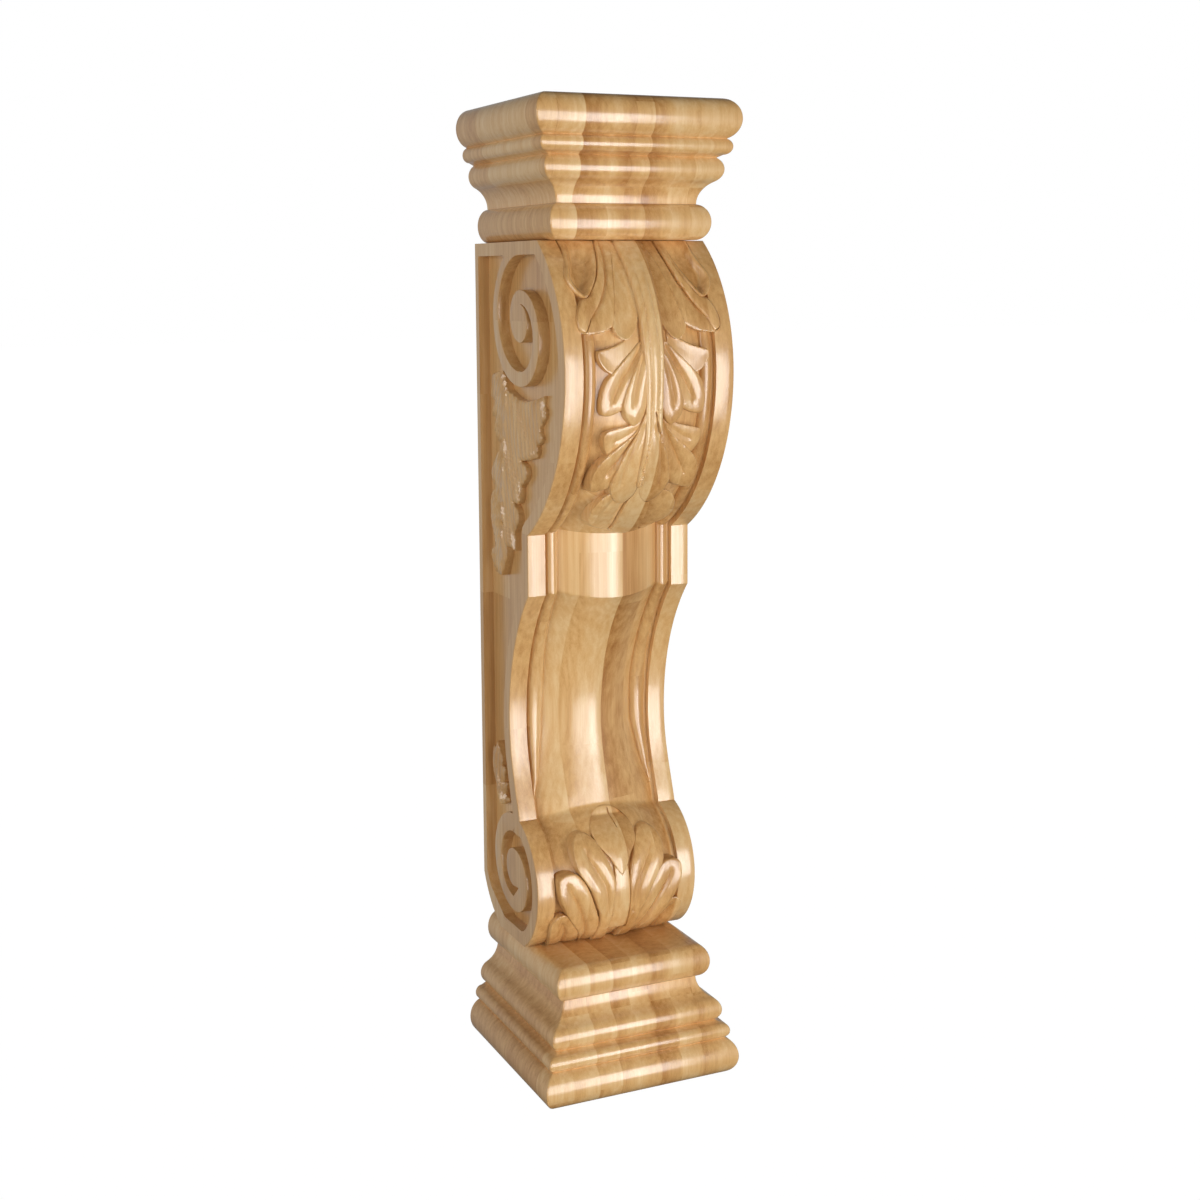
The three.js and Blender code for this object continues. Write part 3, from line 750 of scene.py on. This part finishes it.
def front_seeds(regions, veins):
    """Points of the mesh of the front, densest on the leaves."""
    low, high = along(BODY_BOTTOM), along(BODY_TOP)
    seeds = [hexagons((-HALF, low), (HALF, high), FRONT_PITCH)]
    seeds.append(hexagons((-70, along(522)), (70, high), LEAF_PITCH))
    seeds.append(hexagons((-72, low), (72, along(258)), LEAF_PITCH))
    for line in veins:
        for share in (-1, -0.5, 0.5, 1):
            seeds.append(line + share * VEIN_CUT * normals(line, False))
    for loop, _ in regions[BORDER_REGIONS:]:
        seeds += rings(loop, (0.3, 0.9, 1.9))
    seeds = np.concatenate(seeds)
    covered = np.zeros(len(seeds), bool)
    for loop, _ in regions[BORDER_REGIONS:]:
        covered |= inside(seeds, loop)
    side_strip = np.abs(seeds[:, 0]) > reed_in(level(seeds[:, 1])) - 0.6
    return seeds[covered | ~side_strip]


def front_mesh():
    """The whole carved front of the body."""
    edge = [along(z) for z in EDGE_LEVELS]
    outline = np.array([(HALF, s) for s in edge] + [(-HALF, s) for s in reversed(edge)])
    regions, creases, veins = front_regions()
    seeds = front_seeds(regions, veins)

    def place(spots, height):
        z = level(spots[:, 1])
        return np.stack([spots[:, 0], border(z) + height, z], 1)

    return carve(outline, regions, creases + front_creases(), seeds, ground_height, place)


def upper_volute():
    """Band of the upper volute: down the back, round below, up the front and into the eye."""
    z = BODY_TOP - PANEL_TOP - VOLUTE_R - 2.7
    t = 110
    outer = VOLUTE_R + 11.5
    return np.array(
        [(t - 40, BODY_TOP + 3)]
        + arc(t - 1, z, outer, outer, 125, 270, 30)
        + arc(t + 1, z - 20, 44, 44, -90, 90, 30, True)
        + arc(t + 1, z, 24, 24, 90, 262, 24, True)
        + arc(t, z - 6.5, 17.5, 17.5, -90, 80, 16)
        + arc(t, z - 19.5, 30.5, 30.5, 84, -90, 24)
        + arc(t, z + 2.5, VOLUTE_R, VOLUTE_R, 270, 92, 30, True)
        + [(t, BODY_TOP + 3)]
    )


def lower_volute():
    """Band of the lower volute: off the front rim, over the top, down the back and into the eye."""
    z = SCROLL_Z
    t = SCROLL_T + 6
    return np.array(
        [(t + 14, z + 64), (t, z + 65.5)]
        + arc(t, z + 17.5, 48, 48, 98, 262, 26)
        + arc(t + 2, z + 0.5, 31, 31, -94, 88, 26)
        + arc(t + 1, z + 12.5, 19, 19, 92, 262, 16)
        + [(t + 11, z - 5)]
        + arc(t, z + 15.5, 32, 32, 268, 92, 22)
        + [(t + 14, z + 46)]
    )


def inset(edge, gap):
    """The front edge of a side, moved inward."""
    line = np.array(edge)
    return line + gap * normals(line, False)


def panel_outline(edge):
    """Outline of the sunk side panel, at a fixed distance inside the carved front."""
    inner = inset(edge, PANEL_RIM)
    top = BODY_TOP - PANEL_TOP
    bottom = BODY_BOTTOM + PANEL_RIM
    inner = inner[(inner[:, 1] > bottom + 2) & (inner[:, 1] < top)]
    keep = [inner[0]]
    for p in inner[1:]:
        if p[1] > keep[-1][1] + 0.3:
            keep.append(p)
    start = [(PANEL_BACK, top), (PANEL_BACK, HEEL_Z + 4), (PANEL_BACK + 10, HEEL_Z - 10)]
    start += [(HEEL_T + 10, bottom), (SCROLL_T + 24, bottom)]
    return np.array(start + [tuple(p) for p in keep] + [(keep[-1][0] - 4, top)])


class SideLeaf:
    """A leaf lying in the side panel: outline, midrib and veins that run down and outward."""

    def __init__(self, outline, rib, lean, pitch, low=1.0):
        self.outline = spline(outline, 3)
        self.rib = np.array(rib, float)
        self.lean = lean
        self.pitch = pitch
        self.low = low

    def region(self):
        """Closed loop on the side and the height function."""
        def height(spots, gap):
            t, z = spots[:, 0], spots[:, 1]
            mid = np.interp(z, self.rib[::-1, 1], self.rib[::-1, 0])
            off = t - mid
            drop = self.rib[0, 1] - z
            back = off < 0
            spread = np.where(back, self.lean[0], self.lean[1])
            stray = 0.25 * np.sin(0.03 * z + 0.02 * t) + 0.12 * np.sin(0.08 * z - 0.1 * t)
            phase = (np.abs(off) - spread * drop) / self.pitch + stray
            fold = np.abs((phase % 1) - 0.5) * 2
            wave = 0.5 + 0.5 * np.sin(0.085 * z + 0.11 * t + np.where(back, 1.3, 0))
            h = -self.low - 0.055 * np.abs(off) - (1.0 + 1.3 * wave) * (1 - fold)
            h -= 1.2 * smooth(1 - gap / 5)
            h += 0.9 * np.exp(-(off / 2.4) ** 2)
            return h - rounding(gap, EDGE)

        return self.outline, height


HANGING = SideLeaf(
    [(27, 665), (42, 669), (57, 671, 0), (64, 662), (71, 653, 0), (81, 650), (96, 646), (112, 645),
     (132, 648), (149, 652, 0), (147, 643, 0), (151, 638), (149, 632), (140, 624, 0), (139, 619),
     (143, 614), (140, 609, 0), (133, 606, 0), (134, 601), (129, 594, 0), (112, 591), (97, 589, 0),
     (107, 585), (110, 580), (108, 574), (95, 564, 0), (95, 558), (93, 552), (89, 548, 0),
     (79, 549, 0), (88, 542), (91, 533), (81, 521, 0), (80, 512), (81, 503, 0), (71, 505),
     (64, 505, 0), (65, 500), (63, 494), (58, 485), (53, 476, 0), (44, 475), (35, 477), (28, 482),
     (20, 491), (22, 498, 0), (32, 501, 0), (31, 509), (22, 523), (20, 537), (22, 552, 0),
     (35, 558, 0), (23, 567), (25, 576), (34, 586), (54, 601, 0), (43, 604), (37, 610), (33, 618),
     (38, 624, 0), (27, 628), (28, 635), (36, 640, 0), (24, 646), (26, 656)],
    [(74, 672), (70, 638), (63, 594), (58, 550), (56, 521), (54, 480), (50, 470)],
    lean=(0.42, 0.3), pitch=7.0,
)
SPRINGING = SideLeaf(
    [(20, 294), (24, 303, 0), (29, 300), (33, 309, 0), (38, 303), (46, 294), (44, 287, 0),
     (52, 285), (50, 278), (47, 271, 0), (56, 272), (54, 266), (51, 260, 0), (60, 256), (50, 250),
     (39, 247, 0), (31, 255), (28, 266), (21, 275)],
    [(30, 310), (34, 282), (40, 262), (48, 244)],
    lean=(0.1, -0.3), pitch=6,
)


def heel_line():
    """Slightly hollow slope from the foot of the scroll up to the back, as points (t, z)."""
    out = []
    for i in range(9):
        u = i / 8
        push = 4 * HEEL_SAG * u * (1 - u)
        t = HEEL_T * (1 - u) - push * 0.68
        z = BODY_BOTTOM + (HEEL_Z - BODY_BOTTOM) * u - push * 0.73
        out.append((t, z))
    return out


def side_mesh(side):
    """One carved side of the body, with panel, volutes and leaves."""
    line = [(float(border(np.array([z]))[0] - ARRIS), z) for z in EDGE_LEVELS]
    edge = []
    for t, z in line:
        if z < RIM_END + 1e-6:
            edge.append((t, z))
        if z > RIM_END - 1e-6:
            edge.append((t + float(rim_rise(z)), z))
    outline = np.array(edge + [(0.0, BODY_TOP)] + heel_line()[::-1])
    panel = panel_outline(line)

    def floor(spots, gap):
        return np.full(len(spots), -float(PANEL_DEPTH))

    def face(spots, gap):
        return -rounding(gap, PANEL_ARRIS) * inside(spots, panel)

    def flat(spots):
        return np.zeros(len(spots))

    regions = [
        (panel, floor),
        HANGING.region(),
        SPRINGING.region(),
        (upper_volute(), face),
        (lower_volute(), face),
    ]
    seeds = [hexagons((0, BODY_BOTTOM), (BELLY_T, BODY_TOP), SIDE_PITCH)]
    for loop, _ in regions[1:3]:
        dense = hexagons(loop.min(0), loop.max(0), SIDE_LEAF_PITCH)
        seeds.append(dense[inside(dense, loop)])
    for loop, _ in regions[1:]:
        seeds += rings(loop, (0.3, 0.7))

    def place(spots, height):
        return np.stack([side * (HALF + height), spots[:, 0], spots[:, 1]], 1)

    strip = [(inset(edge, EDGE_STRIP)[1:-1], len(regions))]
    return carve(outline, regions, strip, np.concatenate(seeds), flat, place)


def in_part(points):
    """Places (x, t, z) in millimetres to the part's own frame in metres."""
    p = np.asarray(points, float)
    return np.stack([p[:, 0], BACK_Y - p[:, 1], p[:, 2]], 1) * MM


def finish_piece(name, mesh, node, material):
    """Add a piece that stands for a node, shaded smooth up to its sharp edges."""
    mesh.materials.append(material)
    for polygon in mesh.polygons:
        polygon.use_smooth = True
    mesh.set_sharp_from_angle(angle=math.radians(38))
    piece = bpy.data.objects.new(name, mesh)
    bpy.context.collection.objects.link(piece)
    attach(piece, "root")
    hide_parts(node)


def body_piece(material):
    """The carved body: front, two sides, back, heel and flat ends."""
    bm = bmesh.new()
    for vertices, faces in (front_mesh(), side_mesh(-1), side_mesh(1)):
        made = [bm.verts.new(p) for p in in_part(vertices)]
        for face in faces:
            try:
                bm.faces.new([made[i] for i in face])
            except ValueError:
                pass
    rail = heel_line() + [(0.0, BODY_TOP)]
    rails = [[(side * HALF, t, z) for t, z in rail] for side in (-1, 1)]
    left, right = [[bm.verts.new(p) for p in in_part(points)] for points in rails]
    for i in range(len(left) - 1):
        bm.faces.new([left[i], right[i], right[i + 1], left[i + 1]])
    bmesh.ops.remove_doubles(bm, verts=bm.verts, dist=0.02 * MM)
    bmesh.ops.dissolve_degenerate(bm, edges=bm.edges, dist=1e-7)
    for z in (BODY_TOP, BODY_BOTTOM):
        rim = [
            e for e in bm.edges
            if len(e.link_faces) == 1 and all(abs(v.co.z - z * MM) < 0.02 * MM for v in e.verts)
        ]
        bmesh.ops.triangle_fill(bm, edges=rim, use_beauty=True, use_dissolve=False)
    bmesh.ops.recalc_face_normals(bm, faces=bm.faces)
    mesh = bpy.data.meshes.new("carved_body")
    bm.to_mesh(mesh)
    bm.free()
    finish_piece("carved_body", mesh, "body", material)


def moulding_profile():
    """Pairs (offset outward from the block, distance from the outer face)."""
    nose_mid = NOSE_H / 2
    bead_mid = NOSE_H + BEAD_H / 2 - 0.9
    bead_back = -1.5
    ogee_top = NOSE_H + BEAD_H
    ogee_end = ogee_top + OGEE_H
    convex = (OGEE_OUT - OGEE_R, ogee_top + OGEE_R * 0.95)
    neck = NECK + 1
    drop = ogee_end - convex[1]
    reach = neck - convex[0]
    hollow_r = (reach ** 2 + drop ** 2 - OGEE_R ** 2) / (2 * (OGEE_R - reach))
    hollow = (neck + hollow_r, ogee_end)
    lean = math.degrees(math.atan2(hollow[1] - convex[1], hollow[0] - convex[0]))
    return (
        arc(-NOSE_BACK, nose_mid, NOSE_OUT + NOSE_BACK, nose_mid, -90, 73, 32)
        + arc(bead_back, bead_mid, BEAD_OUT - bead_back, BEAD_H / 2, -64, 90, 18)
        + arc(convex[0], convex[1], OGEE_R, OGEE_R, -56, lean, 18)
        + arc(hollow[0], hollow[1], hollow_r, hollow_r, lean + 180, 180, 14, True)
        + arc(NECK, ogee_end + TORUS_H / 2, TORUS_OUT - NECK, TORUS_H / 2, -86, 90, 28)
    )


def moulded_piece(name, node, upward, material):
    """Capital or base: one moulding run round three sides with mitred corners."""
    corner_r = 1.6
    loops = []
    for out, down in moulding_profile():
        half = BLOCK_W / 2 + out
        front = BLOCK_T + out
        z = HEIGHT - down if upward else down
        loop = [(-half, 0.0, z)]
        for sx, start in ((-1, 180), (1, 90)):
            for i in range(5):
                a = math.radians(start - 90 * i / 4)
                loop.append((
                    sx * (half - corner_r) + corner_r * math.cos(a),
                    front - corner_r + corner_r * math.sin(a),
                    z,
                ))
        loop.append((half, 0.0, z))
        loops.append(loop)
    n = len(loops[0])
    bm = bmesh.new()
    made = [[bm.verts.new(p) for p in in_part(loop)] for loop in loops]
    for a, b in zip(made[:-1], made[1:]):
        for j in range(n):
            k = (j + 1) % n
            bm.faces.new([a[j], a[k], b[k], b[j]])
    bm.faces.new(made[0])
    bm.faces.new(made[-1])
    bmesh.ops.recalc_face_normals(bm, faces=bm.faces)
    mesh = bpy.data.meshes.new(name)
    bm.to_mesh(mesh)
    bm.free()
    finish_piece(name, mesh, node, material)


class Nodes:
    """Short helper for building the node tree of a material or the world."""

    def __init__(self, owner, shader="Principled BSDF"):
        owner.use_nodes = True
        self.tree = owner.node_tree
        self.shader = self.tree.nodes[shader]

    def put(self, kind, settings=None, **inputs):
        """Add a node, set its properties and fill or link its inputs by name."""
        node = self.tree.nodes.new(kind)
        for key, value in (settings or {}).items():
            setattr(node, key, value)
        for key, value in inputs.items():
            self.fill(node, key, value)
        return node

    def fill(self, node, key, value):
        """Fill one input with a value, or link it to an output."""
        numbered = key[0] == "i" and key[1:].isdigit()
        socket = node.inputs[int(key[1:])] if numbered else node.inputs[key]
        if isinstance(value, bpy.types.NodeSocket):
            self.tree.links.new(value, socket)
        else:
            socket.default_value = value

    def math(self, operation, a, b=0.0, c=0.0, clamp=False):
        """Math node with up to three operands."""
        settings = {"operation": operation, "use_clamp": clamp}
        return self.put("ShaderNodeMath", settings, i0=a, i1=b, i2=c).outputs[0]


def tone_ramp(n, value):
    """Colour of the lacquered wood from light (0) to dark (1)."""
    node = n.put("ShaderNodeValToRGB", i0=value)
    bar = node.color_ramp
    bar.elements[0].position, bar.elements[0].color = 0.0, (0.82, 0.56, 0.27, 1)
    bar.elements[1].position, bar.elements[1].color = 1.0, (0.38, 0.155, 0.036, 1)
    for position, colour in ((0.35, (0.72, 0.42, 0.16, 1)), (0.7, (0.55, 0.275, 0.085, 1))):
        stop = bar.elements.new(position)
        stop.color = colour
    return node.outputs[0]


def stave_ramp(n, x, staves, values, interpolation):
    """Value across X: one pair (left, right) of values per stave."""
    span = 240
    seam = 0.0015
    node = n.put("ShaderNodeValToRGB", i0=n.math("MULTIPLY_ADD", x, 1 / span, 0.5))
    bar = node.color_ramp
    bar.interpolation = interpolation
    lefts = [stave[0] for stave in staves]
    stops = []
    for left, right, (first, last) in zip(lefts, lefts[1:] + [span / 2], values):
        stops.append((left / span + 0.5, first))
        stops.append((right / span + 0.5 - seam, last))
    while len(bar.elements) < len(stops):
        bar.elements.new(1.0)
    for element, (position, colour) in zip(bar.elements, stops):
        element.position = position
        element.color = (*colour, 1)
    return n.put("ShaderNodeSeparateColor", i0=node.outputs[0]).outputs


def lacquer(n, place, fibre, wave):
    """Clear satin lacquer over sanded wood; wave is the height of its unevenness in mm."""
    n.fill(n.shader, "Roughness", n.math("MULTIPLY_ADD", fibre, 0.15, 0.45))
    n.shader.inputs["Coat Weight"].default_value = 1.0
    n.shader.inputs["Coat Roughness"].default_value = 0.2
    n.shader.inputs["Coat IOR"].default_value = 1.68
    n.shader.inputs["Specular IOR Level"].default_value = 0.3
    waves = n.put("ShaderNodeTexNoise", i0=place, Scale=0.06, Detail=2.0)
    relief = n.math("MULTIPLY_ADD", waves.outputs[0], wave, n.math("MULTIPLY", fibre, 0.03))
    height = n.math("MULTIPLY", relief, MM)
    bump = n.put("ShaderNodeBump", Height=height, Strength=1.0, Distance=1.0)
    n.fill(n.shader, "Normal", bump.outputs[0])
    n.fill(n.shader, "Coat Normal", bump.outputs[0])


def laminated_wood(name, seed, staves, joint, wave, dark_reflection=None):
    """Lacquered hardwood glued up from upright staves, side by side and in layers from the back.

    staves: (left edge in mm, tone at its left, tone at its right, joint shift) from left to right.
    joint: length between butt joints. wave: height of the unevenness left by sanding, in mm.
    The last argument: (left, right, low, high) in mm of a zone whose base colour is darkened with a
    cloudy figure, a painted dark reflection.
    """
    material = bpy.data.materials.new(name)
    n = Nodes(material)
    place = n.put("ShaderNodeTexCoord").outputs["Object"]
    mm = n.put("ShaderNodeVectorMath", {"operation": "SCALE"}, i0=place, Scale=1 / MM)
    axes = n.put("ShaderNodeSeparateXYZ", i0=mm.outputs[0])
    x, y, z = axes.outputs[0], axes.outputs[1], axes.outputs[2]

    tones = [((s[1], 0, 0), (s[2], 0, 0)) for s in staves]
    tone = stave_ramp(n, x, staves, tones, "LINEAR")[0]
    share = 1 / (len(staves) + 1)
    marks = [((s[3], (i + 1) * share, 0),) * 2 for i, s in enumerate(staves)]
    held = stave_ramp(n, x, staves, marks, "CONSTANT")
    layer = n.math("FLOOR", n.math("MULTIPLY_ADD", y, 1 / LAYER_DEPTH, 0.5))
    row = n.math("ADD", n.math("DIVIDE", z, joint), n.math("MULTIPLY_ADD", layer, 0.37, held[0]))
    row = n.math("FLOOR", row)
    key = n.math("MULTIPLY_ADD", row, 7.31, n.math("MULTIPLY_ADD", held[1], 61.0, seed))
    key = n.math("MULTIPLY_ADD", layer, 3.17, key)
    luck = n.put("ShaderNodeTexWhiteNoise", {"noise_dimensions": "1D"}, W=key)
    luck_a, luck_b, luck_c = n.put("ShaderNodeSeparateColor", i0=luck.outputs["Color"]).outputs

    def spot(across, up, lean=0.0):
        """Place in the grain, moved for each piece of wood, with its own scale along the grain."""
        grain_x = n.math("MULTIPLY", n.math("MULTIPLY_ADD", luck_b, 300.0, x), across)
        grain_y = n.math("MULTIPLY", n.math("MULTIPLY_ADD", luck_c, 300.0, y), across)
        grain_z = n.math("MULTIPLY", n.math("MULTIPLY_ADD", x, lean, z), up)
        return n.put("ShaderNodeCombineXYZ", i0=grain_x, i1=grain_y, i2=grain_z).outputs[0]

    def noise(vector, detail, roughness=0.5):
        """Noise value around zero."""
        out = n.put("ShaderNodeTexNoise", i0=vector, Scale=1.0, Detail=detail, Roughness=roughness)
        return n.math("SUBTRACT", out.outputs[0], 0.5)

    fibre = noise(spot(1.5, 0.02), 4.0, 0.7)
    streak = noise(spot(0.24, 0.004), 3.0, 0.6)
    drift = noise(spot(0.06, 0.004, 0.3), 2.0)
    warp = noise(spot(0.03, 0.005), 2.0)
    pith_x = n.math("MULTIPLY_ADD", luck_b, 400.0, n.math("ADD", x, -200.0))
    pith_y = n.math("MULTIPLY_ADD", luck_c, 160.0, n.math("ADD", y, 150.0))
    far = n.math("SQRT", n.math("MULTIPLY_ADD", pith_x, pith_x, n.math("MULTIPLY", pith_y, pith_y)))
    far = n.math("MULTIPLY_ADD", warp, 60.0, far)
    ring = n.math("SINE", n.math("MULTIPLY", far, 0.62))
    pore = n.math("GREATER_THAN", noise(spot(1.7, 0.2), 2.0), 0.2)

    value = n.math("MULTIPLY_ADD", n.math("SUBTRACT", luck_a, 0.5), 0.3, tone)
    for part, amount in ((fibre, 0.55), (streak, 0.7), (drift, 0.35), (ring, 0.05), (pore, 0.14)):
        value = n.math("MULTIPLY_ADD", part, amount, value)
    # Painted dark reflection: a cloudy darker zone in the base colour of the hollow.
    if dark_reflection:
        left, right, low, high = dark_reflection
        reflection_zone = 1.0
        for axis, start, end in ((x, left, right), (z, low, high)):
            reflection_zone = n.math("MULTIPLY", reflection_zone, n.math("GREATER_THAN", axis, start))
            reflection_zone = n.math("MULTIPLY", reflection_zone, n.math("LESS_THAN", axis, end))
        reflection_cloud = noise(spot(0.1, 0.07, -0.9), 1.0)
        value = n.math("MULTIPLY_ADD", reflection_zone, n.math("MULTIPLY_ADD", reflection_cloud, 0.55, 0.1), value)
    n.fill(n.shader, "Base Color", tone_ramp(n, n.math("ADD", value, 0.0, clamp=True)))

    lacquer(n, mm.outputs[0], fibre, wave)
    return material


# Glued staves of the three pieces: left edge in mm, tones at both sides, shift of the butt joints.
BODY_STAVES = (
    (-120, 0.25, 0.45, 0.3), (-60, 0.5, 0.2, 0.75), (-33, 0.35, 0.12, 0.4), (8, 0.75, 0.4, 0.67),
    (37, 0.3, 0.55, 0.1), (61, 0.25, 0.45, 0.55),
)
CAPITAL_STAVES = (
    (-120, 0.55, 0.2, 0.1), (-80, 0.45, 0.02, 0.5), (-54, 0.75, 0.2, 0.5), (-25, 0.1, 0.6, 0.3),
    (-5, 0.6, 0.3, 0.1), (13, 0.85, 0.25, 0.8), (39, 0.1, 0.35, 0.2), (59, 0.2, 0.5, 0.6),
)
BASE_STAVES = (
    (-120, 0.6, 0.3, 0.2), (-72, 0.5, 0.1, 0.7), (-46, 0.45, 0.15, 0.1), (-23, 0.65, 0.3, 0.6),
    (-3, 0.2, 0.5, 0.3), (17, 0.7, 0.3, 0.8), (39, 0.2, 0.4, 0.4), (62, 0.55, 0.25, 0.9),
    (84, 0.2, 0.5, 0.2),
)
BODY_JOINT = 194
CAPITAL_JOINT = 400
BASE_JOINT = 52
LAYER_DEPTH = 120
BODY_WAVE = 0.22
MOULDING_WAVE = 0.15
# Zone of the painted dark reflection in the hollow: left, right, low and high, in mm.
HOLLOW_DARK_REFLECTION = (8, 37, 258, 452)


def add_camera():
    """Camera at the photograph's viewing angle."""
    data = bpy.data.cameras.new("camera")
    data.sensor_fit = "HORIZONTAL"
    data.sensor_width = 36
    data.lens = 52.45
    data.shift_x = 0.0078
    data.shift_y = -0.078
    data.clip_end = 60
    camera = bpy.data.objects.new("camera", data)
    turn = (
        Matrix.Rotation(math.radians(-24.52), 4, "Z")
        @ Matrix.Rotation(math.radians(-7.42), 4, "X")
        @ Matrix.Rotation(math.radians(0.39), 4, "Y")
        @ Matrix.Rotation(math.radians(90), 4, "X")
    )
    camera.matrix_world = Matrix.Translation((-0.6852, -1.4728, 0.7555)) @ turn
    bpy.context.collection.objects.link(camera)
    bpy.context.scene.camera = camera


def softbox(name, azimuth, elevation, size, glow):
    """Rectangular area light aimed at the corbel's middle; azimuth 0 is straight in front."""
    data = bpy.data.lights.new(name, "AREA")
    data.shape = "RECTANGLE"
    data.size, data.size_y = size
    data.energy = glow * math.pi * size[0] * size[1]
    lamp = bpy.data.objects.new(name, data)
    a, e = math.radians(azimuth), math.radians(elevation)
    way = Vector((math.sin(a) * math.cos(e), -math.cos(a) * math.cos(e), math.sin(e)))
    lamp.location = Vector((0, 0, LIGHT_AIM)) + LIGHT_AWAY * way
    lamp.rotation_euler = (-way).to_track_quat("-Z", "Y").to_euler()
    lamp.visible_camera = False
    bpy.context.collection.objects.link(lamp)


def paper():
    """Studio paper that shows as bright as the surroundings."""
    material = bpy.data.materials.new("floor_paper")
    inputs = Nodes(material).shader.inputs
    inputs["Base Color"].default_value = (0, 0, 0, 1)
    inputs["Roughness"].default_value = 0.9
    inputs["Specular IOR Level"].default_value = 0.1
    inputs["Emission Color"].default_value = (1, 1, 1, 1)
    inputs["Emission Strength"].default_value = 1.0
    return material


def add_floor():
    """White floor that gives no light to the corbel."""
    bm = bmesh.new()
    bmesh.ops.create_grid(bm, x_segments=2, y_segments=2, size=20)
    mesh = bpy.data.meshes.new("floor")
    bm.to_mesh(mesh)
    bm.free()
    mesh.materials.append(paper())
    floor = bpy.data.objects.new("floor", mesh)
    bpy.context.collection.objects.link(floor)
    floor.visible_diffuse = False
    floor.visible_glossy = False
    floor.visible_shadow = False


def fade(n, value, ends, strengths):
    """Strength that changes smoothly with a value between two ends."""
    node = n.put("ShaderNodeMapRange", {"interpolation_type": "SMOOTHSTEP"}, Value=value)
    node.inputs["From Min"].default_value, node.inputs["From Max"].default_value = ends
    node.inputs["To Min"].default_value, node.inputs["To Max"].default_value = strengths
    return node.outputs[0]


def add_world():
    """White surroundings, brightest behind the corbel and dimmest straight above and below."""
    world = bpy.data.worlds.new("studio")
    n = Nodes(world, "Background")
    way = n.put("ShaderNodeTexCoord").outputs["Generated"]
    axes = n.put("ShaderNodeSeparateXYZ", i0=way).outputs
    depth = fade(n, axes[1], (-0.9, 0.6), (FRONT_FILL, BACK_FILL))
    rise = fade(n, n.math("ABSOLUTE", axes[2]), (0.1, 0.8), (1.0, 0.1))
    seen = n.put("ShaderNodeLightPath").outputs["Is Camera Ray"]
    light = n.math("MULTIPLY", depth, rise)
    strength = n.put("ShaderNodeMix", i0=seen, i2=light, i3=1.0).outputs[0]
    n.fill(n.shader, "Color", (1, 1, 1, 1))
    n.fill(n.shader, "Strength", strength)
    bpy.context.scene.world = world
    bpy.context.scene.view_settings.view_transform = "Standard"


add_camera()
add_world()
add_floor()
softbox("key", 8, -6, (1.82, 1.9), 3.8)
softbox("key_edge", 22, -7, (0.5, 1.7), 4.2)
softbox("left", -70, 4, (1.6, 1.6), 3.0)
body_piece(laminated_wood("body_wood", 3.0, BODY_STAVES, BODY_JOINT, BODY_WAVE, HOLLOW_DARK_REFLECTION))
capital_wood = laminated_wood("capital_wood", 9.0, CAPITAL_STAVES, CAPITAL_JOINT, MOULDING_WAVE)
moulded_piece("moulded_capital", "capital", True, capital_wood)
base_wood = laminated_wood("base_wood", 14.0, BASE_STAVES, BASE_JOINT, MOULDING_WAVE)
moulded_piece("moulded_base", "base", False, base_wood)
